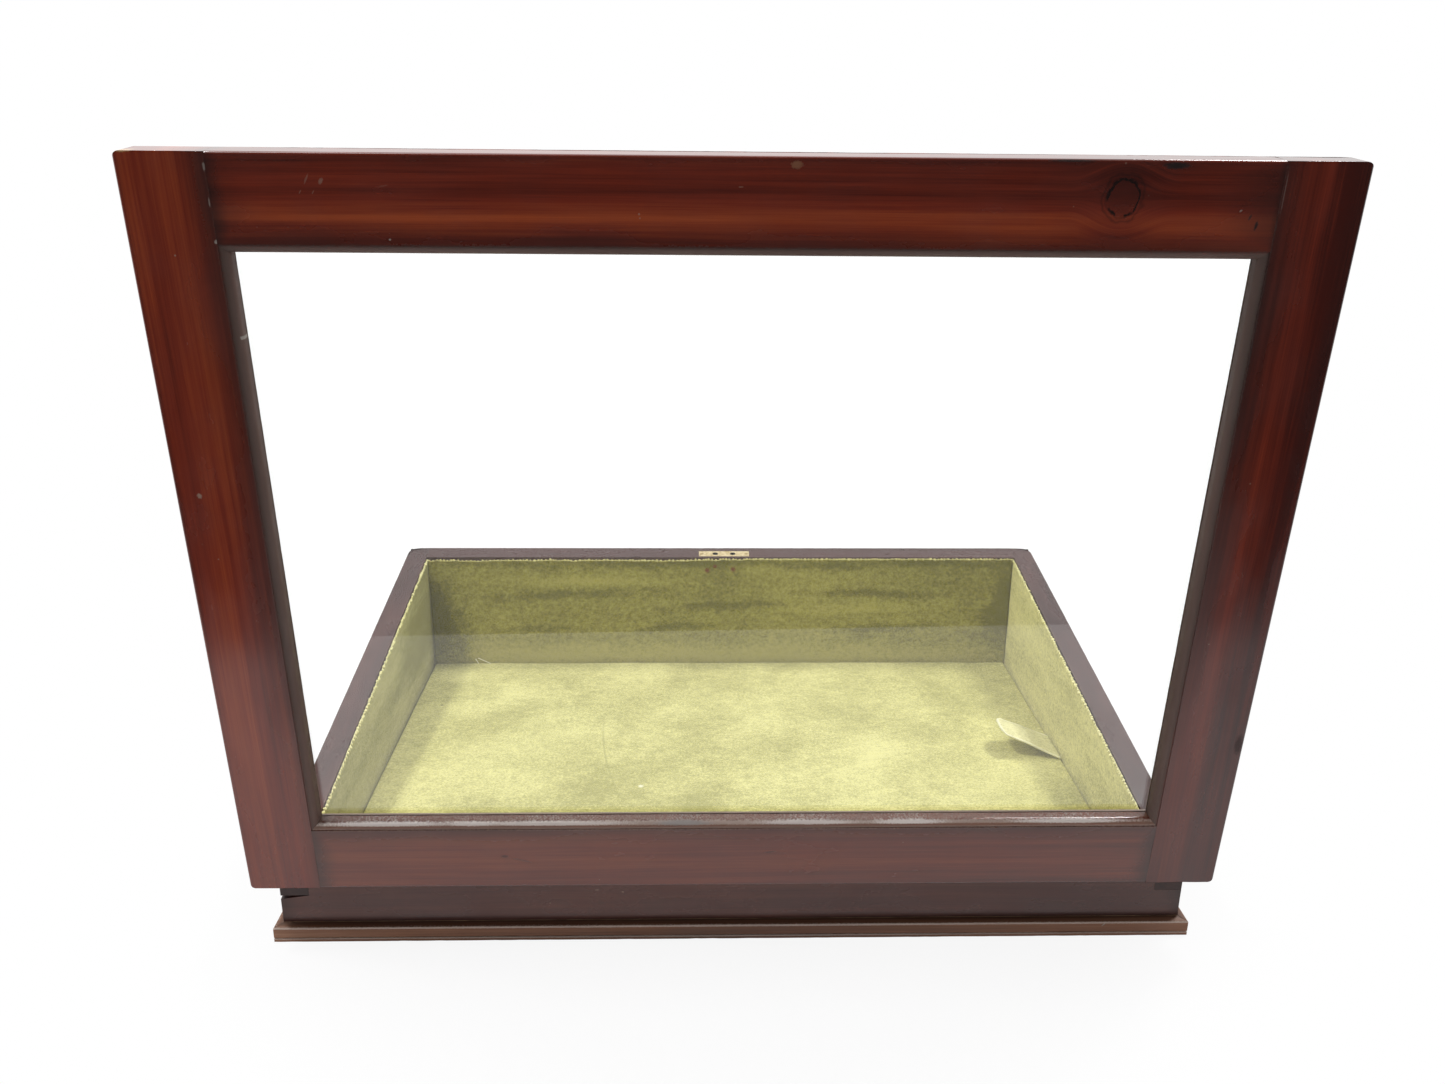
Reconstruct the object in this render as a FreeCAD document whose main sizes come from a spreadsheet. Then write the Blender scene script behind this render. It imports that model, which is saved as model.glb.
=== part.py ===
"""Sloping counter display case with a hinged glazed lid, a lined interior and a lift-out pad.

Units are millimetres. X runs along the case's width, Y from the low hinge side to the high lock side, and Z up.
The origin is the middle of the base's footprint. The lid is built at rest, open against its stop.
"""
import FreeCAD
import Part
import Sketcher
import math
import os
import re

# Driving sizes, in millimetres
SIZES = {
    "case_width": 610,
    "case_depth": 427,
    "front_height": 66,
    "back_height": 134,
    "wall": 19,
    "bottom_thickness": 12,
    "finger_height": 20.5,
    "moulding_height": 11.8,
    "moulding_projection": 5.6,
    "moulding_fall": 0.8,
    "moulding_round": 1.2,
    "lip_height": 2.8,
    "lip_groove": 0.8,
    "lining_thickness": 1.7,
    "lining_setdown": 2,
    "pad_clearance": 0.8,
    "pad_board_thickness": 7.4,
    "velvet_thickness": 2,
    "tab_width": 40,
    "tab_thickness": 2,
    "tab_flat": 8,
    "tab_reach": 44,
    "tab_rise": 22,
    "tab_bend": 125,
    "tab_offset": 10.5,
    "lid_side_overhang": 11,
    "lid_front_overhang": 12.6,
    "lid_back_overhang": 12.2,
    "lid_thickness": 19,
    "lid_gap": 0.4,
    "lid_corner": 4,
    "lid_arris": 1.6,
    "stile_face": 45,
    "rail_face": 45.6,
    "sticking_width": 4.5,
    "sticking_quirk": 0.6,
    "sticking_depth": 9.5,
    "rebate_width": 6,
    "glass_thickness": 2.5,
    "glass_clearance": 0.5,
    "bead_clearance": 0.2,
    "bead_splay": 4.2,
    "tenon_length": 30,
    "tenon_thickness": 6.4,
    "tenon_inset": 9,
    "tenon_clearance": 0.5,
    "hinge_inset": 105,
    "hinge_proud": 1.39,
    "stop_clearance": 0.3,
    "leaf_length": 50,
    "leaf_width": 15,
    "leaf_thickness": 1.2,
    "knuckle_radius": 2.5,
    "knuckle_clearance": 0.4,
    "pin_radius": 1,
    "pin_clearance": 0.06,
    "knuckle_gap": 0.3,
    "seat_clearance": 0.2,
    "hinge_screw_head": 2.7,
    "hinge_screw_shank": 1.3,
    "hinge_screw_length": 13,
    "hinge_screw_line": 9.5,
    "hinge_screw_pitch": 32,
    "screw_clearance": 0.06,
    "nail_width": 2.6,
    "nail_length": 36,
    "nail_inset": 90,
    "lock_offset": 2,
    "lock_setback": 7.5,
    "selvedge_length": 49,
    "selvedge_width": 10.4,
    "selvedge_thickness": 1.8,
    "lock_length": 40,
    "lock_thickness": 7,
    "lock_depth": 28,
    "lock_plate": 1,
    "slot_spacing": 17,
    "slot_length": 5,
    "slot_width": 3,
    "hook_length": 4.2,
    "hook_thickness": 2,
    "hook_depth": 9.3,
    "notch_depth": 2.3,
    "notch_top": 4.5,
    "notch_bottom": 7.7,
    "bolt_clearance": 0.2,
    "bolt_throw": 2.5,
    "bolt_standoff": 0.5,
    "bolt_post": 2.5,
    "bolt_bar": 3.6,
    "bolt_drop": 10.4,
    "bolt_end": 12,
    "talon_width": 3,
    "talon_height": 1.4,
    "key_pin_radius": 1.4,
    "key_drop": 19,
    "keyhole_radius": 2.3,
    "keyhole_slot": 1.7,
    "keyhole_length": 6,
    "escutcheon_width": 13,
    "escutcheon_height": 21,
    "escutcheon_thickness": 1.2,
    "lock_screw_head": 1.8,
    "lock_screw_shank": 0.9,
    "lock_screw_length": 12,
    "lock_screw_spacing": 43.4,
}

doc = FreeCAD.newDocument("display_case")
sheet = doc.addObject("Spreadsheet::Sheet", "Sizes")
for row, (alias, number) in enumerate(SIZES.items(), 1):
    sheet.set(f"A{row}", alias)
    sheet.set(f"B{row}", str(number))
    sheet.setAlias(f"B{row}", alias)
doc.recompute()

V = FreeCAD.Vector
NODES = {}


def expr(text):
    """Write a sum of sizes as an expression on the sheet's cells."""
    def cell(found):
        word = found.group(0)
        return "Sizes." + word if word in SIZES else word
    return re.sub(r"[a-z][a-z_0-9]*", cell, text)


def value(text):
    """Work out a sum of sizes as a number."""
    answer = sheet.evalExpression(expr(text))
    return float(getattr(answer, "Value", answer))


def node(item, label):
    """Keep an object as a sub-part under its own name."""
    item.Label = label
    NODES[label] = item
    return item


def body(label):
    return doc.addObject("PartDesign::Body", label + "_body")


def sketch(owner, plane, shift=("0", "0", "0"), turn="0"):
    """Start a sketch on one of the body's own planes, moved and turned within that plane."""
    support = next(o for o in owner.Origin.OriginFeatures if o.Role == plane)
    item = owner.newObject("Sketcher::SketchObject", owner.Name + "_sketch")
    item.AttachmentSupport = [(support, "")]
    item.MapMode = "FlatFace"
    for axis, text in zip("xyz", shift):
        if text != "0":
            item.setExpression("AttachmentOffset.Base." + axis, expr(text))
    if turn != "0":
        item.setExpression("AttachmentOffset.Rotation.Angle", expr(turn))
    return item


def arc_between(start, end, radius, side):
    """Return the short arc from start to end with its centre to the left (1) or the right (-1)."""
    chord = end - start
    half = chord.Length / 2
    away = V(-chord.y, chord.x, 0).normalize() * side
    centre = (start + end) * 0.5 + away * math.sqrt(max(radius ** 2 - half ** 2, 0))
    circle = Part.Circle(centre, V(0, 0, 1), radius)
    first = math.atan2(start.y - centre.y, start.x - centre.x)
    last = math.atan2(end.y - centre.y, end.x - centre.x)
    if side < 0:
        first, last = last, first
    if last < first:
        last += 2 * math.pi
    return Part.ArcOfCircle(circle, first, last)


def fix_point(item, geometry, position, x, y):
    for kind, text in (("DistanceX", x), ("DistanceY", y)):
        n = item.addConstraint(Sketcher.Constraint(kind, -1, 1, geometry, position, value(text)))
        item.setExpression(f"Constraints[{n}]", expr(text))


def outline(item, corners):
    """Add a closed outline. A corner with four entries starts an arc: x, y, radius, side."""
    points = [V(value(c[0]), value(c[1]), 0) for c in corners]
    count = len(corners)
    kept = []
    for i, corner in enumerate(corners):
        start, end = points[i], points[(i + 1) % count]
        if len(corner) == 2:
            kept.append((item.addGeometry(Part.LineSegment(start, end)), 1, 2))
            continue
        curve = arc_between(start, end, value(corner[2]), corner[3])
        ends = (1, 2) if corner[3] > 0 else (2, 1)
        kept.append((item.addGeometry(curve), *ends))
    for i in range(count):
        this, after = kept[i], kept[(i + 1) % count]
        item.addConstraint(Sketcher.Constraint("Coincident", this[0], this[2], after[0], after[1]))
    for i, corner in enumerate(corners):
        fix_point(item, kept[i][0], kept[i][1], corner[0], corner[1])
        if len(corner) == 4:
            n = item.addConstraint(Sketcher.Constraint("Radius", kept[i][0], value(corner[2])))
            item.setExpression(f"Constraints[{n}]", expr(corner[2]))
    return item


def box_outline(item, x0, x1, y0, y1):
    return outline(item, [(x0, y0), (x1, y0), (x1, y1), (x0, y1)])


def ring(item, x, y, radius):
    n = item.addGeometry(Part.Circle(V(value(x), value(y), 0), V(0, 0, 1), value(radius)))
    fix_point(item, n, 3, x, y)
    k = item.addConstraint(Sketcher.Constraint("Radius", n, value(radius)))
    item.setExpression(f"Constraints[{k}]", expr(radius))
    return item


def pad(owner, profile, length):
    """Add material to both sides of the sketch, length in all."""
    item = owner.newObject("PartDesign::Pad", owner.Name + "_pad")
    item.Profile = profile
    item.SideType = "Symmetric"
    item.setExpression("Length", expr(length))
    return item


def pocket(owner, profile, length):
    """Cut material away on both sides of the sketch, length in all."""
    item = owner.newObject("PartDesign::Pocket", owner.Name + "_pocket")
    item.Profile = profile
    item.SideType = "Symmetric"
    item.setExpression("Length", expr(length))
    return item


# Places that several pieces share
RISE = "((back_height - front_height) / case_depth)"
SLOPE = f"atan({RISE})"
HINGE_Y = "(-case_depth / 2 - hinge_proud)"
HINGE_Z = f"(front_height - hinge_proud * {RISE} + lid_gap / 2 / cos({SLOPE}))"
STOP_ARM = "sqrt(lid_front_overhang ^ 2 + (lid_gap / 2) ^ 2)"
OPEN = (f"(90 deg + asin((hinge_proud - stop_clearance) / {STOP_ARM})"
        " + atan(lid_gap / 2 / lid_front_overhang))")
LID_END = f"((case_depth + hinge_proud) / cos({SLOPE}) + lid_back_overhang)"
LID_LENGTH = f"({LID_END} + lid_front_overhang)"
LOCK_S = f"((case_depth + hinge_proud - wall) / cos({SLOPE}) + lock_setback)"
HALF_WIDTH = "case_width / 2"
HALF_DEPTH = "case_depth / 2"
SEAT = "lid_gap / 2"
OUTER = "(lid_gap / 2 + lid_thickness)"
STOP = "(lid_gap / 2 + lid_thickness - sticking_depth)"
GLASS_BACK = "(lid_gap / 2 + lid_thickness - sticking_depth - glass_thickness)"
LID_SIDE = "(case_width / 2 + lid_side_overhang)"
X_FACE = f"({LID_SIDE} - stile_face)"
X_SIGHT = f"({X_FACE} - sticking_width)"
X_REBATE = f"({X_SIGHT} + rebate_width)"
TENON_LOW = "(lid_gap / 2 + (lid_thickness - tenon_thickness) / 2)"
TENON_HIGH = "(lid_gap / 2 + (lid_thickness + tenon_thickness) / 2)"


def place(item, angle):
    """Stand an object built about the hinge line at an angle from level."""
    item.Placement = FreeCAD.Placement(V(0, 0, 0), FreeCAD.Rotation(V(1, 0, 0), 1))
    item.setExpression("Placement.Base.y", expr(HINGE_Y))
    item.setExpression("Placement.Base.z", expr(HINGE_Z))
    item.setExpression("Placement.Rotation.Angle", expr(angle))
    return item


def screw_shape(spot, along, head, sink, shank, length):
    """Return one countersunk wood screw with a straight shank, its head flush at spot."""
    points = [V(0, 0, 0), V(head, 0, 0), V(shank, 0, sink), V(shank, 0, length), V(0, 0, length), V(0, 0, 0)]
    solid = Part.Face(Part.makePolygon(points)).revolve(V(0, 0, 0), V(0, 0, 1), 360)
    solid.Placement = FreeCAD.Placement(spot, FreeCAD.Rotation(V(0, 0, 1), along))
    return solid


def awl_hole(spot, along, shank, length):
    """Return the square hole that an awl makes in the wood for one screw."""
    solid = Part.makeBox(2 * shank, 2 * shank, length, V(-shank, -shank, 0))
    solid.Placement = FreeCAD.Placement(spot, FreeCAD.Rotation(V(0, 0, 1), along))
    return solid


def screws(label, spots, along, kind, plate):
    """Make a group of like screws, the sunk holes in their plate and the awl holes in the wood behind it."""
    head, shank, sink = value(kind + "_head"), value(kind + "_shank"), value(plate)
    length, spare = value(kind + "_length"), value("screw_clearance")
    group = doc.addObject("Part::Feature", label + "_group")
    group.Shape = Part.makeCompound([screw_shape(s, along, head, sink, shank, length) for s in spots])
    holes = doc.addObject("Part::Feature", label + "_holes")
    holes.Shape = Part.makeCompound(
        [screw_shape(s, along, head + spare, sink, shank + spare, length + spare) for s in spots])
    awl_holes = doc.addObject("Part::Feature", label + "_awl_holes")
    awl_holes.Shape = Part.makeCompound([awl_hole(s, along, shank + spare, length + spare) for s in spots])
    node(group, label)
    return group, holes, awl_holes


def nails(label, spots):
    """Make a group of square cut nails driven up from below, and the holes that they fill."""
    group = doc.addObject("Part::Feature", label + "_group")
    holes = doc.addObject("Part::Feature", label + "_holes")
    for item, spare in ((group, 0), (holes, value("screw_clearance"))):
        side = value("nail_width") + 2 * spare
        length = value("nail_length") + spare
        item.Shape = Part.makeCompound(
            [Part.makeBox(side, side, length, s - V(side / 2, side / 2, 0)) for s in spots])
    node(group, label)
    return group, holes


def drilled(blank, *tools):
    """Return the blank with each tool's shape cut away."""
    item = blank
    for tool in tools:
        cut = doc.addObject("Part::Cut", blank.Name + "_drilled")
        cut.Base = item
        cut.Tool = tool
        item = cut
    return item


HINGES = {"left": "(hinge_inset - case_width / 2)", "right": "(case_width / 2 - hinge_inset)"}
KNUCKLES = 3


def hinge_gain(owner, x, low, high, in_case):
    """Let one leaf and the barrel into a board, about the hinge line."""
    shift = (HINGE_Y, HINGE_Z, x) if in_case else ("0", "0", x)
    turn = SLOPE if in_case else "0"
    seat = sketch(owner, "YZ_Plane", shift, turn)
    box_outline(seat, "0", "leaf_width + seat_clearance", low, high)
    pocket(owner, seat, "leaf_length + 2 * seat_clearance")
    barrel = sketch(owner, "YZ_Plane", shift, turn)
    ring(barrel, "0", "0", "knuckle_radius + knuckle_clearance")
    pocket(owner, barrel, "leaf_length + 2 * seat_clearance")


# Screws and their holes
def leaf_spots(z):
    spots = []
    for x in HINGES.values():
        for step in (-1, 1):
            spots.append(V(value(x) + step * value("hinge_screw_pitch / 2"), value("hinge_screw_line"), value(z)))
    return spots


case_screws, case_screw_holes, case_awl_holes = screws(
    "hinge_case_screws", leaf_spots("-lid_gap / 2"), V(0, 0, -1), "hinge_screw", "leaf_thickness")
lid_screws, lid_screw_holes, lid_awl_holes = screws(
    "hinge_lid_screws", leaf_spots("lid_gap / 2"), V(0, 0, 1), "hinge_screw", "leaf_thickness")
lock_spots = [V(value("lock_offset") + s * value("lock_screw_spacing / 2"), value(LOCK_S), value("-lid_gap / 2"))
              for s in (-1, 1)]
link_spots = [V(p.x, p.y, value("lid_gap / 2")) for p in lock_spots]
lock_screws, lock_screw_holes, lock_awl_holes = screws(
    "lock_screws", lock_spots, V(0, 0, -1), "lock_screw", "selvedge_thickness")
link_screws, link_screw_holes, link_awl_holes = screws(
    "link_plate_screws", link_spots, V(0, 0, 1), "lock_screw", "selvedge_thickness")
nail_spots = []
for s in (-1, 1):
    for t in (-1, 0, 1):
        nail_spots.append(V(t * value("case_width / 2 - nail_inset"), s * value("case_depth / 2 - wall / 2"), 0))
    nail_spots.append(V(s * value("case_width / 2 - wall / 2"), 0, 0))
bottom_nails, nail_holes = nails("bottom_nails", nail_spots)
place(case_screws, SLOPE)
place(lock_screws, SLOPE)


def in_place(holes):
    """Return a copy of a group of holes, stood on the slope of the closed lid."""
    item = doc.addObject("Part::Feature", holes.Name + "_in_place")
    item.Shape = holes.Shape
    return place(item, SLOPE)


# Carcass
def finger_levels(top, first):
    """List the levels where one board's corner fingers start and end, every other one from first."""
    levels = []
    k = first
    while value("bottom_thickness") + k * value("finger_height") < top:
        levels.append((f"bottom_thickness + {k} * finger_height", f"bottom_thickness + {k + 1} * finger_height"))
        k += 2
    return levels


def cross_board(label, sign, height):
    """Make the front or the back board, with its fingers and sloping top."""
    item = body(label)
    profile = sketch(item, "YZ_Plane")
    inner = f"{height} {'+' if sign < 0 else '-'} wall * {RISE}"
    outline(profile, [(f"{sign} * {HALF_DEPTH}", "bottom_thickness"), (f"{sign} * ({HALF_DEPTH} - wall)", "bottom_thickness"),
                      (f"{sign} * ({HALF_DEPTH} - wall)", inner), (f"{sign} * {HALF_DEPTH}", height)])
    pad(item, profile, "case_width")
    notches = sketch(item, "XZ_Plane", ("0", "0", f"{-sign} * ({HALF_DEPTH} - wall / 2)"))
    for low, high in finger_levels(value(height), 1):
        box_outline(notches, f"{HALF_WIDTH} - wall", f"{HALF_WIDTH} + 1", low, high)
        box_outline(notches, f"-{HALF_WIDTH} - 1", f"wall - {HALF_WIDTH}", low, high)
    pocket(item, notches, "wall + 2")
    return item


front = cross_board("front_board", -1, "front_height")
for x in HINGES.values():
    hinge_gain(front, x, "-lid_gap / 2 - leaf_thickness", "lid_gap / 2 + knuckle_radius", True)
node(drilled(front, in_place(case_awl_holes), nail_holes), "front_board")

back = cross_board("back_board", 1, "back_height")
IN_CASE = (HINGE_Y, HINGE_Z, "lock_offset")
mortise = sketch(back, "YZ_Plane", IN_CASE, SLOPE)
box_outline(mortise, f"{LOCK_S} - lock_thickness / 2 - seat_clearance", f"{LOCK_S} + lock_thickness / 2 + seat_clearance",
            "-lid_gap / 2 - lock_depth - seat_clearance", "lid_gap")
pocket(back, mortise, "lock_length + 2 * seat_clearance")
let_in = sketch(back, "YZ_Plane", IN_CASE, SLOPE)
box_outline(let_in, f"{LOCK_S} - selvedge_width / 2 - seat_clearance / 2",
            f"{LOCK_S} + selvedge_width / 2 + seat_clearance / 2", "-lid_gap / 2 - selvedge_thickness", "lid_gap")
pocket(back, let_in, "selvedge_length + seat_clearance")
KEY_Z = (f"({HINGE_Z} + {LOCK_S} * sin({SLOPE}) - (lid_gap / 2 + key_drop) * cos({SLOPE})"
         f" + lock_setback / 2 * sin({SLOPE}))")


def keyhole(owner, shift, depth, x, z):
    """Cut a keyhole, a round with a slot hanging below it."""
    shape = sketch(owner, "XZ_Plane", shift)
    rim = "sqrt(keyhole_radius ^ 2 - (keyhole_slot / 2) ^ 2)"
    left, right = f"{x} - keyhole_slot / 2", f"{x} + keyhole_slot / 2"
    outline(shape, [(left, f"{z} - {rim}"), (left, f"{z} - keyhole_length"), (right, f"{z} - keyhole_length"),
                    (right, f"{z} - {rim}")])
    pocket(owner, shape, depth)
    eye = sketch(owner, "XZ_Plane", shift)
    ring(eye, x, z, "keyhole_radius")
    pocket(owner, eye, depth)


keyhole(back, ("0", "0", f"-{HALF_DEPTH}"), "wall", "lock_offset", KEY_Z)
node(drilled(back, in_place(lock_awl_holes), nail_holes), "back_board")


def side_board(label, sign):
    """Make one sloping side with the corner fingers that answer the front and back boards."""
    item = body(label)
    profile = sketch(item, "YZ_Plane", ("0", "0", f"{sign} * ({HALF_WIDTH} - wall / 2)"))
    outline(profile, [(f"-{HALF_DEPTH}", "bottom_thickness"), (HALF_DEPTH, "bottom_thickness"),
                      (HALF_DEPTH, "back_height"), (f"-{HALF_DEPTH}", "front_height")])
    pad(item, profile, "wall")
    notches = sketch(item, "YZ_Plane", ("0", "0", f"{sign} * ({HALF_WIDTH} - wall / 2)"))
    for height, end in (("front_height", -1), ("back_height", 1)):
        for low, high in finger_levels(value(height), 0):
            near, far = f"{end} * ({HALF_DEPTH} - wall)", f"{end} * ({HALF_DEPTH} + 1)"
            if end < 0:
                near, far = far, near
            box_outline(notches, near, far, low, high)
    pocket(item, notches, "wall + 2")
    return node(drilled(item, nail_holes), label)


side_board("left_side", -1)
side_board("right_side", 1)

bottom = body("bottom_board")
ground = sketch(bottom, "XY_Plane", ("0", "0", "bottom_thickness / 2"))
box_outline(ground, f"-{HALF_WIDTH}", HALF_WIDTH, f"-{HALF_DEPTH}", HALF_DEPTH)
pad(bottom, ground, "bottom_thickness")
node(drilled(bottom, nail_holes), "bottom_board")


# Base moulding
def moulding(label, plane, sign, wall_face, other_half):
    """Make one mitred strip of the base moulding."""
    item = body(label)
    out = f"{sign} * ({wall_face} + moulding_projection"
    profile = sketch(item, plane)
    outline(profile, [
        (f"{sign} * {wall_face}", "0"),
        (f"{sign} * {wall_face}", "moulding_height"),
        (f"{out} - moulding_round)", "moulding_height - moulding_fall", "moulding_round", -sign),
        (f"{out})", "moulding_height - moulding_fall - moulding_round"),
        (f"{out})", "lip_height + lip_groove / 2"),
        (f"{out} - lip_groove)", "lip_height"),
        (f"{out})", "lip_height - lip_groove / 2"),
        (f"{out})", "0")])
    pad(item, profile, f"2 * ({other_half} + moulding_projection)")
    mitres = sketch(item, "XY_Plane", ("0", "0", "moulding_height / 2"))
    for end in (-1, 1):
        inner = (f"{end} * {other_half}", f"{sign} * {wall_face}")
        tip = (f"{end} * ({other_half} + moulding_projection + 1)", f"{sign} * ({wall_face} + moulding_projection + 1)")
        past = (f"{end} * ({other_half} + moulding_projection + 1)", f"{sign} * {wall_face}")
        corners = [inner, tip, past]
        if plane == "XZ_Plane":
            corners = [(b, a) for a, b in corners]
        outline(mitres, corners)
    pocket(item, mitres, "moulding_height + 2")
    return node(item, label)


moulding("base_moulding_front", "YZ_Plane", -1, HALF_DEPTH, HALF_WIDTH)
moulding("base_moulding_back", "YZ_Plane", 1, HALF_DEPTH, HALF_WIDTH)
moulding("base_moulding_left", "XZ_Plane", -1, HALF_WIDTH, HALF_DEPTH)
moulding("base_moulding_right", "XZ_Plane", 1, HALF_WIDTH, HALF_DEPTH)


# Lining
def top_at(y):
    return f"(front_height + ({y} + {HALF_DEPTH}) * {RISE} - lining_setdown)"


def side_lining(label, sign):
    item = body(label)
    profile = sketch(item, "YZ_Plane", ("0", "0", f"{sign} * ({HALF_WIDTH} - wall - lining_thickness / 2)"))
    end = f"({HALF_DEPTH} - wall - lining_thickness)"
    outline(profile, [(f"-{end}", "bottom_thickness"), (end, "bottom_thickness"), (end, top_at(end)),
                      (f"-{end}", top_at("-" + end))])
    pad(item, profile, "lining_thickness")
    return node(item, label)


def cross_lining(label, sign):
    item = body(label)
    face, skin = f"({HALF_DEPTH} - wall)", f"({HALF_DEPTH} - wall - lining_thickness)"
    profile = sketch(item, "YZ_Plane")
    outline(profile, [(f"{sign} * {skin}", "bottom_thickness"), (f"{sign} * {face}", "bottom_thickness"),
                      (f"{sign} * {face}", top_at(f"{sign} * {face}")), (f"{sign} * {skin}", top_at(f"{sign} * {skin}"))])
    pad(item, profile, "case_width - 2 * wall")
    return node(item, label)


side_lining("lining_left", -1)
side_lining("lining_right", 1)
cross_lining("lining_front", -1)
cross_lining("lining_back", 1)

# Lift-out pad
PAD_X = f"({HALF_WIDTH} - wall - lining_thickness - pad_clearance)"
PAD_Y = f"({HALF_DEPTH} - wall - lining_thickness - pad_clearance)"
PAD_TOP = "(bottom_thickness + pad_board_thickness + velvet_thickness)"
board = body("pad_board")
plan = sketch(board, "XY_Plane", ("0", "0", "bottom_thickness + pad_board_thickness / 2"))
box_outline(plan, f"velvet_thickness - {PAD_X}", f"{PAD_X} - velvet_thickness", f"velvet_thickness - {PAD_Y}",
            f"{PAD_Y} - velvet_thickness")
pad(board, plan, "pad_board_thickness")
node(board, "pad_board")
cover = body("pad_velvet")
plan = sketch(cover, "XY_Plane", ("0", "0", "bottom_thickness + (pad_board_thickness + velvet_thickness) / 2"))
box_outline(plan, f"-{PAD_X}", PAD_X, f"-{PAD_Y}", PAD_Y)
pad(cover, plan, "pad_board_thickness + velvet_thickness")
under = sketch(cover, "XY_Plane", ("0", "0", "bottom_thickness"))
box_outline(under, f"velvet_thickness - {PAD_X}", f"{PAD_X} - velvet_thickness", f"velvet_thickness - {PAD_Y}",
            f"{PAD_Y} - velvet_thickness")
pocket(cover, under, "2 * pad_board_thickness")
node(cover, "pad_velvet")
tab = body("pull_tab")
ribbon = sketch(tab, "XZ_Plane", ("0", "0", "-tab_offset"))
TAB_ROOT = f"({PAD_X} - 1)"
BEND_X, TIP_X = f"({TAB_ROOT} - tab_flat)", f"({TAB_ROOT} - tab_flat - tab_reach)"
TAB_LEAN = "atan(tab_rise / tab_reach)"
outline(ribbon, [
    (TAB_ROOT, PAD_TOP), (TAB_ROOT, f"{PAD_TOP} + tab_thickness"),
    (BEND_X, f"{PAD_TOP} + tab_thickness", "tab_bend - tab_thickness", -1),
    (f"{TIP_X} + tab_thickness * sin({TAB_LEAN})", f"{PAD_TOP} + tab_rise + tab_thickness * cos({TAB_LEAN})"),
    (TIP_X, f"{PAD_TOP} + tab_rise", "tab_bend", 1),
    (BEND_X, PAD_TOP)])
pad(tab, ribbon, "tab_width")
node(tab, "pull_tab")


# Lid frame, built flat about the hinge line
def stile(label, sign):
    """Make one full-length stile with its moulded inner edge, glazing rebate and two mortises."""
    item = body(label)
    profile = sketch(item, "XZ_Plane", ("0", "0", f"-({LID_END} - lid_front_overhang) / 2"))
    s = f"{sign} * "
    outline(profile, [
        (s + X_REBATE, SEAT), (s + LID_SIDE, SEAT),
        (s + LID_SIDE, f"{OUTER} - lid_arris", "lid_arris", sign),
        (s + f"({LID_SIDE} - lid_arris)", OUTER),
        (s + X_FACE, OUTER),
        (s + X_FACE, f"{OUTER} - sticking_quirk", "sticking_width", sign),
        (s + X_SIGHT, f"{OUTER} - sticking_quirk - sticking_width"),
        (s + X_SIGHT, STOP), (s + X_REBATE, STOP)])
    pad(item, profile, LID_LENGTH)
    trims = sketch(item, "XY_Plane", ("0", "0", OUTER))
    for base, way in (("-lid_front_overhang", "+"), (LID_END, "-")):
        outline(trims, [
            (s + X_FACE, f"{base} {way} rail_face"),
            (s + f"({X_SIGHT} - 1)", f"{base} {way} (rail_face + sticking_width + 1)"),
            (s + f"({X_SIGHT} - 1)", f"{base} {way} (0 - 1)"),
            (s + X_FACE, f"{base} {way} (0 - 1)")])
    pocket(item, trims, "2 * sticking_depth")
    rounds = sketch(item, "XY_Plane", ("0", "0", OUTER))
    for base, way, turn in (("-lid_front_overhang", "+", 1), (LID_END, "-", -1)):
        outline(rounds, [
            (s + f"({LID_SIDE} - lid_corner)", base, "lid_corner", sign * turn),
            (s + LID_SIDE, f"{base} {way} lid_corner"),
            (s + f"({LID_SIDE} + 1)", f"{base} {way} lid_corner"),
            (s + f"({LID_SIDE} + 1)", f"{base} {way} (0 - 1)"),
            (s + f"({LID_SIDE} - lid_corner)", f"{base} {way} (0 - 1)")])
    pocket(item, rounds, "3 * lid_thickness")
    middle = f"{sign} * ({X_FACE} + (tenon_length + tenon_clearance) / 2 - 2)"
    mortises = sketch(item, "YZ_Plane", ("0", "0", middle))
    for base, way in (("-lid_front_overhang", "+"), (LID_END, "-")):
        near, far = f"{base} {way} tenon_inset", f"{base} {way} (rail_face - 4)"
        box_outline(mortises, near, far, TENON_LOW, TENON_HIGH)
    pocket(item, mortises, "tenon_length + tenon_clearance + 4")
    return place(node(item, label), OPEN)


def rail(label, base, way):
    """Make one rail with long and short shoulders, mitred moulding and a tenon at each end."""
    item = body(label)
    turn = 1 if way == "-" else -1
    profile = sketch(item, "YZ_Plane")
    face, sight = f"{base} {way} rail_face", f"{base} {way} (rail_face + sticking_width)"
    rebate = f"{base} {way} (rail_face + sticking_width - rebate_width)"
    outline(profile, [
        (rebate, SEAT), (base, SEAT),
        (base, f"{OUTER} - lid_arris", "lid_arris", turn),
        (f"{base} {way} lid_arris", OUTER),
        (face, OUTER),
        (face, f"{OUTER} - sticking_quirk", "sticking_width", turn),
        (sight, f"{OUTER} - sticking_quirk - sticking_width"),
        (sight, STOP), (rebate, STOP)])
    pad(item, profile, f"2 * {X_REBATE}")
    shoulders = sketch(item, "XY_Plane", ("0", "0", OUTER))
    for end in (-1, 1):
        s = f"{end} * "
        outline(shoulders, [
            (s + X_FACE, f"{base} {way} (0 - 1)"), (s + X_FACE, face),
            (s + f"({X_SIGHT} - 1)", f"{base} {way} (rail_face + sticking_width + 1)"),
            (s + f"({X_REBATE} + 1)", f"{base} {way} (rail_face + sticking_width + 1)"),
            (s + f"({X_REBATE} + 1)", f"{base} {way} (0 - 1)")])
    pocket(item, shoulders, "2 * sticking_depth")
    tenon = sketch(item, "YZ_Plane")
    box_outline(tenon, f"{base} {way} tenon_inset", f"{base} {way} (rail_face - 4)", TENON_LOW, TENON_HIGH)
    pad(item, tenon, f"2 * ({X_FACE} + tenon_length)")
    return item


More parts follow.
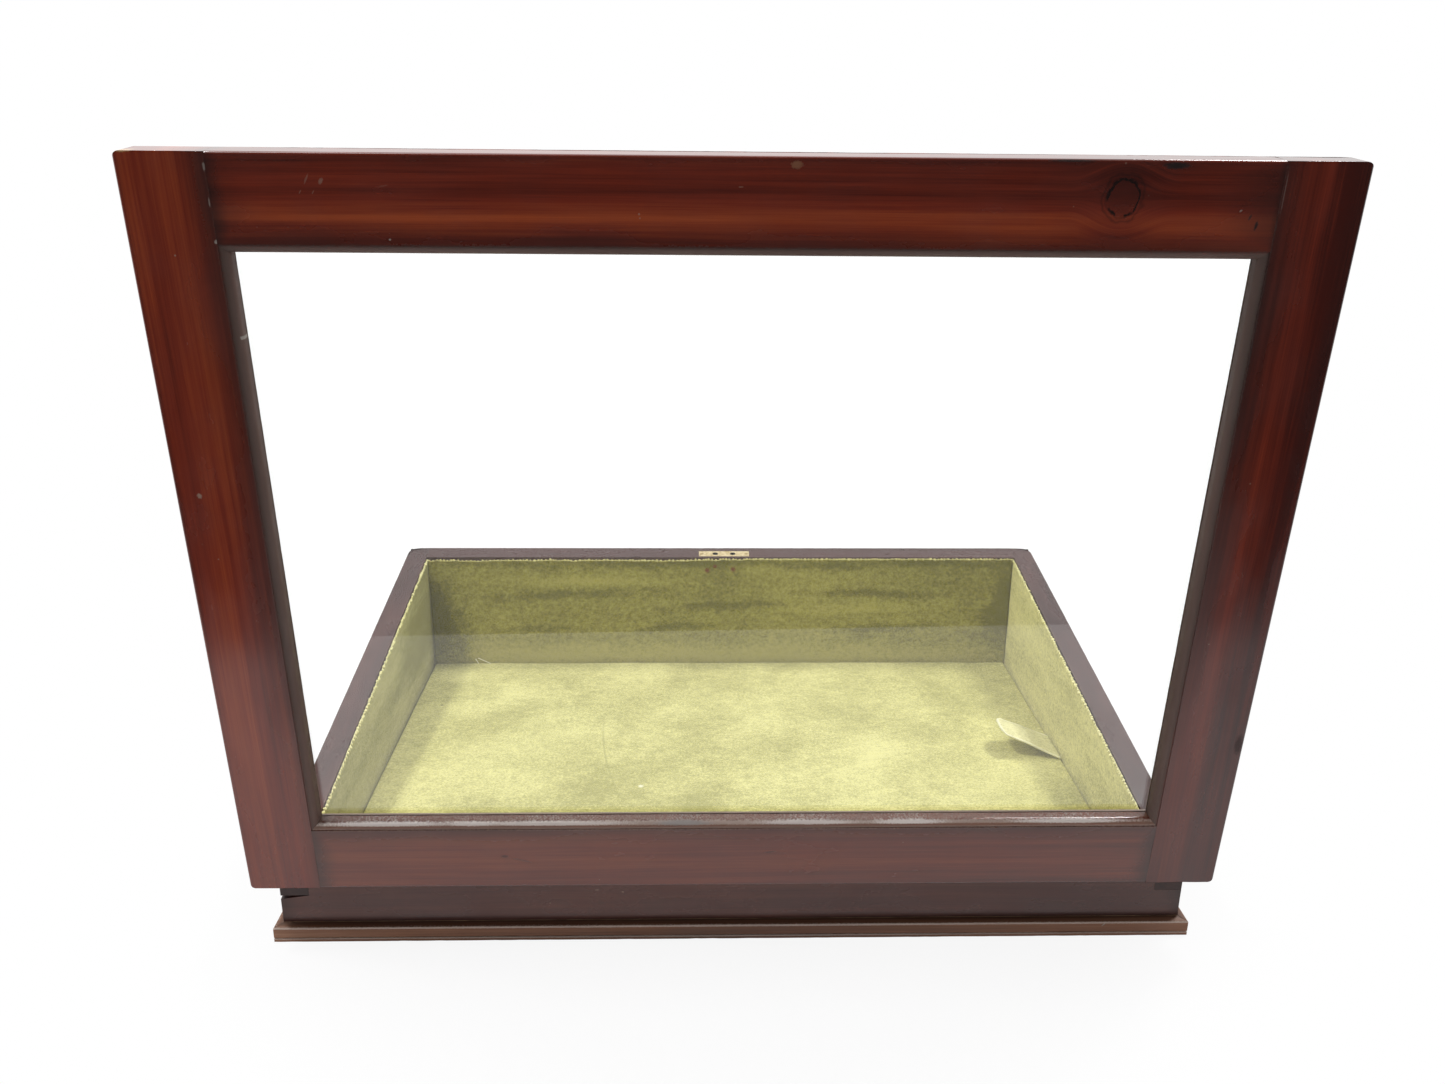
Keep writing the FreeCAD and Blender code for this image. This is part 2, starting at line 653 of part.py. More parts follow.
stile("lid_left_stile", -1)
stile("lid_right_stile", 1)
front_rail = rail("lid_front_rail", "-lid_front_overhang", "+")
for x in HINGES.values():
    hinge_gain(front_rail, x, "-knuckle_radius", "lid_gap / 2 + leaf_thickness", False)
place(node(drilled(front_rail, lid_awl_holes), "lid_front_rail"), OPEN)
back_rail = rail("lid_back_rail", LID_END, "-")
let_in = sketch(back_rail, "XY_Plane", ("0", "0", SEAT))
HALF_PLATE = "(selvedge_length / 2 + seat_clearance / 2)"
box_outline(let_in, f"lock_offset - {HALF_PLATE}", f"lock_offset + {HALF_PLATE}",
            f"{LOCK_S} - selvedge_width / 2 - seat_clearance / 2", f"{LOCK_S} + selvedge_width / 2 + seat_clearance / 2")
pocket(back_rail, let_in, "2 * selvedge_thickness")
place(node(drilled(back_rail, link_awl_holes), "lid_back_rail"), OPEN)
place(lid_screws, OPEN)
place(link_screws, OPEN)

# Glass and glazing beads
Y_FRONT_SIGHT = "(rail_face + sticking_width - lid_front_overhang)"
Y_BACK_SIGHT = f"({LID_END} - rail_face - sticking_width)"
PANE_X = f"({X_REBATE} - glass_clearance)"
PANE_Y0 = f"({Y_FRONT_SIGHT} - rebate_width + glass_clearance)"
PANE_Y1 = f"({Y_BACK_SIGHT} + rebate_width - glass_clearance)"
glass = body("glass_pane")
plan = sketch(glass, "XY_Plane", ("0", "0", f"{STOP} - glass_thickness / 2"))
box_outline(plan, f"-{PANE_X}", PANE_X, PANE_Y0, PANE_Y1)
pad(glass, plan, "glass_thickness")
place(node(glass, "glass_pane"), OPEN)
CORNERS = {
    "front": (f"({Y_FRONT_SIGHT} - rebate_width + bead_clearance)", Y_FRONT_SIGHT),
    "back": (f"({Y_BACK_SIGHT} + rebate_width - bead_clearance)", Y_BACK_SIGHT),
}
BEAD_X = f"({X_REBATE} - bead_clearance)"


X_SPLAY = f"({X_SIGHT} + bead_splay)"
SPLAYED = {"front": f"({Y_FRONT_SIGHT} - bead_splay)", "back": f"({Y_BACK_SIGHT} + bead_splay)"}
BEAD_Y0, BEAD_Y1 = CORNERS["front"][0], CORNERS["back"][0]


def bead(label, plane, middle, section, length, mitres):
    """Make one bead that holds the glass in its rebate, its inner face splayed and its ends mitred."""
    item = body(label)
    shape = sketch(item, plane, ("0", "0", middle))
    outline(shape, section)
    pad(item, shape, length)
    ends = sketch(item, "XY_Plane", ("0", "0", f"({SEAT} + {GLASS_BACK}) / 2"))
    for corners in mitres:
        outline(ends, corners)
    pocket(item, ends, f"2 * ({GLASS_BACK} - {SEAT})")
    return place(node(item, label), OPEN)


for edge, into in (("front", "+"), ("back", "-")):
    out = "-" if into == "+" else "+"
    outer_y, inner_y = CORNERS[edge]
    section = [(outer_y, GLASS_BACK), (inner_y, GLASS_BACK), (SPLAYED[edge], SEAT), (outer_y, SEAT)]
    mitres = [[(s + f"({BEAD_X} + 1)", f"({outer_y} {out} 1)"), (s + f"({BEAD_X} + 1)", f"({inner_y} {into} 1)"),
               (s + f"({X_SIGHT} - 1)", f"({inner_y} {into} 1)")] for s in ("", "-")]
    bead(f"glazing_bead_{edge}", "YZ_Plane", "0", section, f"2 * {BEAD_X}", mitres)
for edge, s in (("left", "-"), ("right", "")):
    section = [(s + BEAD_X, GLASS_BACK), (s + X_SIGHT, GLASS_BACK), (s + X_SPLAY, SEAT), (s + BEAD_X, SEAT)]
    mitres = []
    for end, into, out in (("front", "+", "-"), ("back", "-", "+")):
        outer_y, inner_y = CORNERS[end]
        mitres.append([(s + f"({BEAD_X} + 1)", f"({outer_y} {out} 1)"), (s + f"({X_SIGHT} - 1)", f"({outer_y} {out} 1)"),
                       (s + f"({X_SIGHT} - 1)", f"({inner_y} {into} 1)")])
    bead(f"glazing_bead_{edge}", "XZ_Plane", f"-({BEAD_Y0} + {BEAD_Y1}) / 2", section, f"({BEAD_Y1} - {BEAD_Y0})", mitres)


# Hinges
def leaf(label, x, on_lid):
    """Make one hinge leaf with its share of the knuckles."""
    item = body(label)
    barrel = sketch(item, "YZ_Plane", ("0", "0", x))
    ring(barrel, "0", "0", "knuckle_radius")
    ring(barrel, "0", "0", "pin_radius + pin_clearance")
    pad(item, barrel, "leaf_length")
    plate = sketch(item, "YZ_Plane", ("0", "0", x))
    near, far = SEAT, "lid_gap / 2 + leaf_thickness"
    if not on_lid:
        near, far = f"-{SEAT} - leaf_thickness", f"-{SEAT}"
    box_outline(plate, "(pin_radius + pin_clearance + knuckle_radius) / 2", "leaf_width", near, far)
    pad(item, plate, "leaf_length")
    gaps = sketch(item, "XY_Plane")
    for k in range(KNUCKLES):
        if (k % 2 == 0) != on_lid:
            continue
        low = f"{x} - leaf_length / 2 + {k} * leaf_length / {KNUCKLES} - knuckle_gap / 2"
        high = f"{x} - leaf_length / 2 + {k + 1} * leaf_length / {KNUCKLES} + knuckle_gap / 2"
        low = low if k else f"{x} - leaf_length / 2 - 1"
        high = high if k < KNUCKLES - 1 else f"{x} + leaf_length / 2 + 1"
        box_outline(gaps, low, high, "-knuckle_radius - 1", "knuckle_radius + knuckle_clearance")
    pocket(item, gaps, "2 * knuckle_radius + 2")
    holes = lid_screw_holes if on_lid else case_screw_holes
    whole = drilled(item, holes)
    return place(node(whole, label), OPEN if on_lid else SLOPE)


for name, x in HINGES.items():
    leaf(f"hinge_{name}_case_leaf", x, False)
    leaf(f"hinge_{name}_lid_leaf", x, True)
    pin = doc.addObject("Part::Cylinder", f"hinge_{name}_pin_rod")
    pin.setExpression("Radius", expr("pin_radius"))
    pin.setExpression("Height", expr("leaf_length"))
    pin.Placement = FreeCAD.Placement(V(0, 0, 0), FreeCAD.Rotation(V(0, 1, 0), 90))
    pin.setExpression("Placement.Base.x", expr(f"{x} - leaf_length / 2"))
    pin.setExpression("Placement.Base.y", expr(HINGE_Y))
    pin.setExpression("Placement.Base.z", expr(HINGE_Z))
    node(pin, f"hinge_{name}_pin")

# Lock
TOP = "(0 - lid_gap / 2)"
lock = body("lock_case")
plan = sketch(lock, "XY_Plane", ("0", "0", f"{TOP} - selvedge_thickness / 2"))
box_outline(plan, "lock_offset - selvedge_length / 2", "lock_offset + selvedge_length / 2",
            f"{LOCK_S} - selvedge_width / 2", f"{LOCK_S} + selvedge_width / 2")
pad(lock, plan, "selvedge_thickness")
shell = sketch(lock, "XY_Plane", ("0", "0", f"{TOP} - (selvedge_thickness + lock_depth) / 2"))
box_outline(shell, "lock_offset - lock_length / 2", "lock_offset + lock_length / 2",
            f"{LOCK_S} - lock_thickness / 2", f"{LOCK_S} + lock_thickness / 2")
pad(lock, shell, "lock_depth - selvedge_thickness")
hollow = sketch(lock, "XZ_Plane", ("0", "0", f"-({LOCK_S} + lock_plate / 2)"))
box_outline(hollow, "lock_offset - lock_length / 2 + lock_plate", "lock_offset + lock_length / 2 - lock_plate",
            f"{TOP} - lock_depth + lock_plate", f"{TOP} - selvedge_thickness")
pocket(lock, hollow, "lock_thickness - lock_plate")
slots = sketch(lock, "XY_Plane", ("0", "0", TOP))
for s in (-1, 1):
    box_outline(slots, f"lock_offset + {s} * slot_spacing / 2 - slot_length / 2",
                f"lock_offset + {s} * slot_spacing / 2 + slot_length / 2",
                f"{LOCK_S} - slot_width / 2", f"{LOCK_S} + slot_width / 2")
pocket(lock, slots, "2 * selvedge_thickness + 0.4")
place(node(drilled(lock, lock_screw_holes), "lock_case"), SLOPE)

cap = body("lock_cap")
plan = sketch(cap, "XZ_Plane", ("0", "0", f"-({LOCK_S} + lock_thickness / 2 - lock_plate / 2)"))
box_outline(plan, "lock_offset - lock_length / 2 + lock_plate", "lock_offset + lock_length / 2 - lock_plate",
            f"{TOP} - lock_depth + lock_plate", f"{TOP} - selvedge_thickness")
pad(cap, plan, "lock_plate")
keyhole(cap, ("0", "0", f"-({LOCK_S} + lock_thickness / 2)"), "4 * lock_plate", "lock_offset", f"({TOP} - key_drop)")
place(node(cap, "lock_cap"), SLOPE)

key_pin = body("key_pin")
plan = sketch(key_pin, "XZ_Plane", ("0", "0", f"-{LOCK_S}"))
ring(plan, "lock_offset", f"{TOP} - key_drop", "key_pin_radius")
pad(key_pin, plan, "lock_thickness - 2 * lock_plate")
place(node(key_pin, "key_pin"), SLOPE)

bolt = body("lock_bolt")
plan = sketch(bolt, "XZ_Plane", ("0", "0", f"-{LOCK_S}"))
PRONG_HIGH = f"{TOP} - notch_top - 2 * bolt_clearance"
PRONG_LOW = f"{TOP} - notch_bottom + 2 * bolt_clearance"
BAR_HIGH, BAR_LOW = f"{TOP} - bolt_drop", f"{TOP} - bolt_drop - bolt_bar"
HOOK_SIDE = "hook_length / 2 + bolt_standoff"


def prong(s):
    """Return the corners of one prong and its post, from the tip of the post's outer side."""
    hook = f"lock_offset + {s} * slot_spacing / 2"
    tip = f"{hook} + {HOOK_SIDE}"
    post = f"{tip} + bolt_throw + 2 * bolt_clearance"
    return [(f"{post} + bolt_post", PRONG_HIGH), (tip, PRONG_HIGH), (tip, PRONG_LOW), (post, PRONG_LOW), (post, BAR_HIGH)]


right_prong, left_prong = prong(1), prong(-1)
outline(plan, [
    ("lock_offset - bolt_end", BAR_LOW), ("lock_offset - talon_width / 2", BAR_LOW),
    ("lock_offset - talon_width / 2", f"{BAR_LOW} + talon_height"), ("lock_offset + talon_width / 2", f"{BAR_LOW} + talon_height"),
    ("lock_offset + talon_width / 2", BAR_LOW), (right_prong[0][0], BAR_LOW),
    *right_prong, (left_prong[0][0], BAR_HIGH), *left_prong, ("lock_offset - bolt_end", BAR_HIGH)])
pad(bolt, plan, "lock_thickness - 2 * lock_plate - 2 * bolt_clearance")
place(node(bolt, "lock_bolt"), SLOPE)

scutcheon = body("key_escutcheon")
plan = sketch(scutcheon, "XZ_Plane", ("0", "0", f"-({HALF_DEPTH} + escutcheon_thickness / 2)"))
EDGE = "escutcheon_width / 2"
REACH = "(escutcheon_height / 2 - escutcheon_width / 2)"
CENTRE = f"({KEY_Z} - keyhole_length / 2 + keyhole_radius / 2)"
outline(plan, [
    (f"lock_offset + {EDGE}", f"{CENTRE} - {REACH}"),
    (f"lock_offset + {EDGE}", f"{CENTRE} + {REACH}", f"{EDGE} + 0.0001", 1),
    (f"lock_offset - {EDGE}", f"{CENTRE} + {REACH}"),
    (f"lock_offset - {EDGE}", f"{CENTRE} - {REACH}", f"{EDGE} + 0.0001", 1)])
pad(scutcheon, plan, "escutcheon_thickness")
keyhole(scutcheon, ("0", "0", f"-({HALF_DEPTH} + escutcheon_thickness / 2)"), "4 * escutcheon_thickness", "lock_offset", KEY_Z)
node(scutcheon, "key_escutcheon")

link = body("link_plate")
plan = sketch(link, "XY_Plane", ("0", "0", f"{SEAT} + selvedge_thickness / 2"))
box_outline(plan, "lock_offset - selvedge_length / 2", "lock_offset + selvedge_length / 2",
            f"{LOCK_S} - selvedge_width / 2", f"{LOCK_S} + selvedge_width / 2")
pad(link, plan, "selvedge_thickness")
hooks = sketch(link, "XZ_Plane", ("0", "0", f"-{LOCK_S}"))
for s in (-1, 1):
    mid = f"lock_offset + {s} * slot_spacing / 2"
    west, east = f"{mid} - hook_length / 2", f"{mid} + hook_length / 2"
    throat = f"{mid} + hook_length / 2 - notch_depth"
    outline(hooks, [(west, f"{SEAT} + 0.2"), (west, f"{TOP} - hook_depth"), (east, f"{TOP} - hook_depth"),
                    (east, f"{TOP} - notch_bottom"), (throat, f"{TOP} - notch_bottom"), (throat, f"{TOP} - notch_top"),
                    (east, f"{TOP} - notch_top"), (east, f"{SEAT} + 0.2")])
pad(link, hooks, "hook_thickness")
place(node(drilled(link, link_screw_holes), "link_plate"), OPEN)

doc.recompute()

# Check every piece and write it out
os.makedirs("parts", exist_ok=True)
for item in doc.Objects:
    if "Invalid" in item.State or "Error" in item.State:
        raise RuntimeError(f"{item.Label} did not rebuild: {item.State}")
for label, item in NODES.items():
    shape = item.Shape
    if shape.isNull() or not shape.isValid() or shape.Volume <= 0:
        raise RuntimeError(f"{label} has no sound solid")
    shape.exportStep(f"parts/{label}.step")
    box = shape.BoundBox
    print(f"{label:26s} solids {len(shape.Solids)} volume {shape.Volume / 1000:9.2f} cm3"
          f" x {box.XMin:8.2f} {box.XMax:8.2f} y {box.YMin:8.2f} {box.YMax:8.2f} z {box.ZMin:8.2f} {box.ZMax:8.2f}")
print("open angle", value(OPEN), "slope", value(SLOPE), "swing", value(OPEN) - value(SLOPE))
print("hinge line", value(HINGE_Y), value(HINGE_Z), "lock", value(LOCK_S), "lid length", value(LID_LENGTH))
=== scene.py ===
"""Looks for a worn counter display case: polished wood, faded velvet, old brass, glass and a plain studio."""

import logging
import math
import random
from dataclasses import dataclass, field, replace
from enum import Enum
from typing import Any, Callable

import bmesh
import bpy
from mathutils import Euler, Matrix, Vector, noise


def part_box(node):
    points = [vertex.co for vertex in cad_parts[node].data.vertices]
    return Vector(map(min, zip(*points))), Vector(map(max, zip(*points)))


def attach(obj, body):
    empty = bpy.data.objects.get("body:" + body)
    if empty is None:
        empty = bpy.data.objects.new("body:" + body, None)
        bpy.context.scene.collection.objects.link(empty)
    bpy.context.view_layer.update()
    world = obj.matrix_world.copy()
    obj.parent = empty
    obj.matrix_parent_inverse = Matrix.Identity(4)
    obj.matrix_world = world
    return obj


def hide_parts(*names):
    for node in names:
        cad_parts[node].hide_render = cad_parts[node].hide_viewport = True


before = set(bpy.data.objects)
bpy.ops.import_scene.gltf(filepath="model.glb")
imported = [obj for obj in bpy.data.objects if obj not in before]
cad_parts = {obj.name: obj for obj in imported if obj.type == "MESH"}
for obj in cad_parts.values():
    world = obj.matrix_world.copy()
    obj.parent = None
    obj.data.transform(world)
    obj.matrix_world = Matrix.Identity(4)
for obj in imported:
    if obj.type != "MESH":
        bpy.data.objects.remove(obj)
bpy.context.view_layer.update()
LOG = logging.getLogger("display_case")
MM = 0.001
NEAR = 0.1 * MM
Place = tuple[float, float, float]
Colour = tuple[float, float, float, float]
Socket = bpy.types.NodeSocket

# The hinge line and the two slopes that everything on the lid and the lock follows
HINGE = Vector((0.0, -0.21489, 0.06598116))
OPEN_TURN = math.radians(95.8714965)
SLOPE_TURN = math.radians(9.0484055)
RISE = 68.0 / 427.0
LID_UP = (0.0, math.cos(OPEN_TURN), math.sin(OPEN_TURN))
LID_OUT = (0.0, -math.sin(OPEN_TURN), math.cos(OPEN_TURN))

# The top of the floor's velvet and the face of the back wall's, where the marks on them lie
FLOOR_TOP = 0.0214
BACK_FACE = 0.1928

# How often each part of the wood's figure repeats along the grain, across it and through it, per metre
SWAY = (2.0, 6.0, 6.0)
STREAK = (1.0, 32.0, 32.0)
LINES = (2.6, 230.0, 230.0)
FIBRE = (22.0, 1500.0, 1500.0)
BLOTCH = (5.0, 15.0, 15.0)
DIRT = (6.0, 70.0, 70.0)
RUBBED = (45.0, 60.0, 60.0)
SMEAR = (18.0, 40.0, 40.0)
WAVES = (8.0, 22.0, 22.0)

# The weights of the wood's streaks, lines, fibres and blotches, and where each ramp's colours lie
FIGURE_MIX = (0.75, 0.34, 0.22, 0.34)
WOOD_STOPS = (0.28, 0.5, 0.74)
CLOTH_STOPS = (0.26, 0.5, 0.74)
METAL_STOPS = (0.36, 0.60)
GLASS_STOPS = (0.45, 0.75)


def shade(red: float, green: float, blue: float) -> Colour:
    """Return a linear colour with full alpha."""
    return (red, green, blue, 1.0)


def grey(light: float) -> Colour:
    """Return a grey."""
    return shade(light, light, light)


def on_lid(x: float, run: float, depth: float) -> Vector:
    """Return a place on the open lid, by its run up from the hinge line and its depth outwards."""
    return HINGE + Vector((x, 0.0, 0.0)) + Vector(LID_UP) * run + Vector(LID_OUT) * depth


def on_back(x: float, z: float) -> Place:
    """Return a place on the velvet of the back wall."""
    return (x, BACK_FACE, z)


def on_floor(x: float, y: float) -> Place:
    """Return a place on the velvet of the floor."""
    return (x, y, FLOOR_TOP)


def layered(spot: Vector, parts: tuple[tuple[float, float], ...]) -> float:
    """Return the sum of some noises at a place, each with how often it repeats and its share."""
    return sum(noise.noise(spot * often) * share for often, share in parts)


class Grain(Enum):
    """How a board lies: its grain's line, the line across its show face, and the way out of that face."""

    FLAT = ((1.0, 0.0, 0.0), (0.0, 1.0, 0.0), (0.0, 0.0, 1.0))
    FRONT = ((1.0, 0.0, 0.0), (0.0, 0.0, 1.0), (0.0, -1.0, 0.0))
    SIDE = ((0.0, 1.0, 0.0), (0.0, 0.0, 1.0), (1.0, 0.0, 0.0))
    RAIL = ((1.0, 0.0, 0.0), LID_UP, LID_OUT)
    STILE = (LID_UP, (-1.0, 0.0, 0.0), LID_OUT)

    @property
    def turn(self) -> Euler:
        """The turn that brings the board's lines to the pattern's own axes."""
        return Matrix(self.value).to_euler()

    @property
    def shift(self) -> Vector:
        """The move that puts the lid's patterns at the hinge line."""
        start = HINGE if self in (Grain.RAIL, Grain.STILE) else Vector((0.0, 0.0, 0.0))
        return -(Matrix(self.value) @ start)


class Tint(Enum):
    """The colours of the small marks on the wood; some also stand for painted highlight and painted shade."""

    RUB = (0.42, 0.27, 0.20, 1.0)
    DUST = (0.46, 0.41, 0.36, 1.0)
    # Pits, and painted shade in chips
    PIT_AND_SHADE = (0.008, 0.004, 0.003, 1.0)
    RAW = (0.62, 0.38, 0.17, 1.0)
    # A greyer brown laid along the mouldings
    GREYED_BROWN = (0.115, 0.080, 0.064, 1.0)
    # Pale wear on arrises, and painted highlight along the hinge rail's moulding
    WORN_AND_HIGHLIGHT = (0.74, 0.61, 0.53, 1.0)
    BLOOM = (0.36, 0.37, 0.37, 1.0)
    # A painted highlight
    GLEAM = (0.96, 0.85, 0.79, 1.0)


class Graph:
    """A node tree, with short calls for the nodes that the finishes share."""

    def __init__(self, owner: bpy.types.Material | bpy.types.World, output: str = "OutputMaterial") -> None:
        """Start an empty tree.

        Args:
            owner: The material or world that the tree belongs to.
            output: The kind of its output node.
        """
        owner.use_nodes = True
        self.owner = owner
        self.tree = owner.node_tree
        self.tree.nodes.clear()
        self.output = self.add(output)

    @classmethod
    def named(cls, name: str) -> "Graph":
        """Start a new material's tree."""
        return cls(bpy.data.materials.new(name))

    def feed(self, socket: Socket, value: Any) -> None:
        """Link a socket to another, or set its own value.

        Args:
            socket: The input.
            value: The socket that feeds it, or its value.
        """
        if isinstance(value, bpy.types.NodeSocket):
            self.tree.links.new(value, socket)
        else:
            socket.default_value = value

    def add(self, kind: str, inputs: dict[Any, Any] | None = None, **settings: Any) -> bpy.types.Node:
        """Add a node.

        Args:
            kind: The node's type, without its prefix.
            inputs: Values or sockets for its inputs, by name or number.
            **settings: The node's own properties.

        Returns:
            The new node.
        """
        node = self.tree.nodes.new("ShaderNode" + kind)
        for key, value in settings.items():
            setattr(node, key, value)
        for key, value in (inputs or {}).items():
            self.feed(node.inputs[key], value)
        return node

    def math(self, operation: str, a: Any, b: Any = 0.0, c: Any = 0.0, clamp: bool = False) -> Socket:
        """Return the answer of one sum."""
        return self.add("Math", {0: a, 1: b, 2: c}, operation=operation, use_clamp=clamp).outputs[0]

    def place(self) -> Socket:
        """Return the place on the piece, in the shared frame."""
        return self.add("TexCoord").outputs["Object"]

    def distance(self, where: Socket, spot: Place) -> Socket:
        """Return the distance of a place from a spot."""
        return self.add("VectorMath", {0: where, 1: spot}, operation="DISTANCE").outputs["Value"]

    def oval(self, along: Socket, aside: Socket) -> Socket:
        """Return the distance from an oval's middle, 1 on its rim, from its two shares."""
        squares = self.math("MULTIPLY_ADD", along, along, self.math("MULTIPLY", aside, aside))
        return self.math("SQRT", squares)

    def weigh(self, base: float, *parts: tuple[Socket, float]) -> Socket:
        """Add patterns to a base value.

        Args:
            base: The value where every pattern is at its middle.
            *parts: Each pattern, with its weight.

        Returns:
            The base, moved by each pattern's distance from its middle times its weight.
        """
        total: Any = base - sum(weight for _, weight in parts) / 2
        for value, weight in parts:
            total = self.math("MULTIPLY_ADD", value, weight, total)
        return total

    def near(self, value: Socket, place: float, reach: float) -> Socket:
        """Return 1 at a place, fading to 0 at its reach to either side."""
        far = self.math("ABSOLUTE", self.math("SUBTRACT", value, place))
        return self.fade(far, reach, 0.0)

    def mix(self, factor: Any, a: Any, b: Any) -> Socket:
        """Return a mix of two colours."""
        return self.add("Mix", {0: factor, 6: a, 7: b}, data_type="RGBA").outputs[2]

    def fade(self, value: Socket, low: float, high: float, start: float = 0.0, end: float = 1.0) -> Socket:
        """Return a smooth step of a value from start to end between low and high."""
        inputs = {"Value": value, "From Min": low, "From Max": high, "To Min": start, "To Max": end}
        return self.add("MapRange", inputs, interpolation_type="SMOOTHSTEP").outputs[0]

    def ramp(self, factor: Socket, stops: tuple[float, ...], colours: tuple[Colour, ...]) -> Socket:
        """Lay a ramp over a value.

        Args:
            factor: The value.
            stops: The places of the ramp's colours, in order.
            colours: The colours.

        Returns:
            The colour.
        """
        node = self.add("ValToRGB", {0: factor})
        band = node.color_ramp
        while len(band.elements) < len(stops):
            band.elements.new(0.5)
        for element, place, colour in zip(band.elements, stops, colours):
            element.position = place
            element.color = colour
        return node.outputs[0]

    def stretch(self, vector: Socket, scale: Place, seed: float = 0.0) -> Socket:
        """Return a vector that is stretched, and moved by a board's own seed."""
        inputs = {0: vector, "Location": (seed, seed * 0.7, seed * 1.3), "Scale": scale}
        return self.add("Mapping", inputs).outputs[0]

    def noise(self, vector: Socket, scale: float, detail: float = 3.0, rough: float = 0.5,
              warp: float = 0.0) -> Socket:
        """Return a noise's value."""
        inputs = {"Vector": vector, "Scale": scale, "Detail": detail, "Roughness": rough, "Distortion": warp}
        return self.add("TexNoise", inputs).outputs[0]

    def attribute(self, name: str) -> Socket:
        """Return a mesh attribute's value."""
        return self.add("Attribute", attribute_name=name).outputs["Fac"]

    def bump(self, height: Socket, strength: float, distance: float, normal: Socket | None = None) -> Socket:
        """Raise a surface by a height.

        Args:
            height: The height's pattern.
            strength: How strongly it shows.
            distance: The height of its highest places.
            normal: The normal so far.

        Returns:
            The new normal.
        """
        inputs = {"Height": height, "Strength": strength, "Distance": distance}
        if normal is not None:
            inputs["Normal"] = normal
        return self.add("Bump", inputs).outputs[0]

    def end(self, shader: bpy.types.Node) -> None:
        """Send a shader to the tree's output."""
        self.tree.links.new(shader.outputs[0], self.output.inputs[0])

    def close(self, inputs: dict[str, Any]) -> bpy.types.Material:
        """End the tree in a principled shader.

        Args:
            inputs: The shader's inputs.

        Returns:
            The finished material.
        """
        self.end(self.add("BsdfPrincipled", inputs))
        return self.owner


@dataclass(frozen=True)
class GrimeAndShade:
    """Darkening along one line of a board, fading to one side of it: soiling, and painted shade where the
    line meets a moulding or a wall.

    The line lies at a place along the grain, or across it. A reach below zero fades the other way.
    """

    across: bool
    at: float
    reach: float
    depth: float = 1.0


@dataclass(frozen=True)
class Band:
    """A lighter or darker streak along a whole board, at a place across its grain."""

    at: float
    reach: float
    gain: float


@dataclass(frozen=True)
class Spot:
    """A small mark at a place on a board's show face, with its half sizes in millimetres and its turn."""

    u: float
    v: float
    long: float
    wide: float
    turn: float = 0.0
    strength: float = 0.6
    tint: Tint = Tint.RUB


@dataclass(frozen=True)
class Knot:
    """A plugged knot, an oval with a dark rim."""

    u: float
    v: float
    long: float
    wide: float


@dataclass(frozen=True)
class Marks:
    """What has happened to one board.

    Its spots lie only beyond a depth, which keeps them on the show face. Beyond a height up the lid, if it
    has one, its top edge is rubbed sleek by hands.
    """

    grime_and_shade: tuple[GrimeAndShade, ...] = ()
    bands: tuple[Band, ...] = ()
    spots: tuple[Spot, ...] = ()
    knots: tuple[Knot, ...] = ()
    face: float = -1.0
    sleek: float | None = None


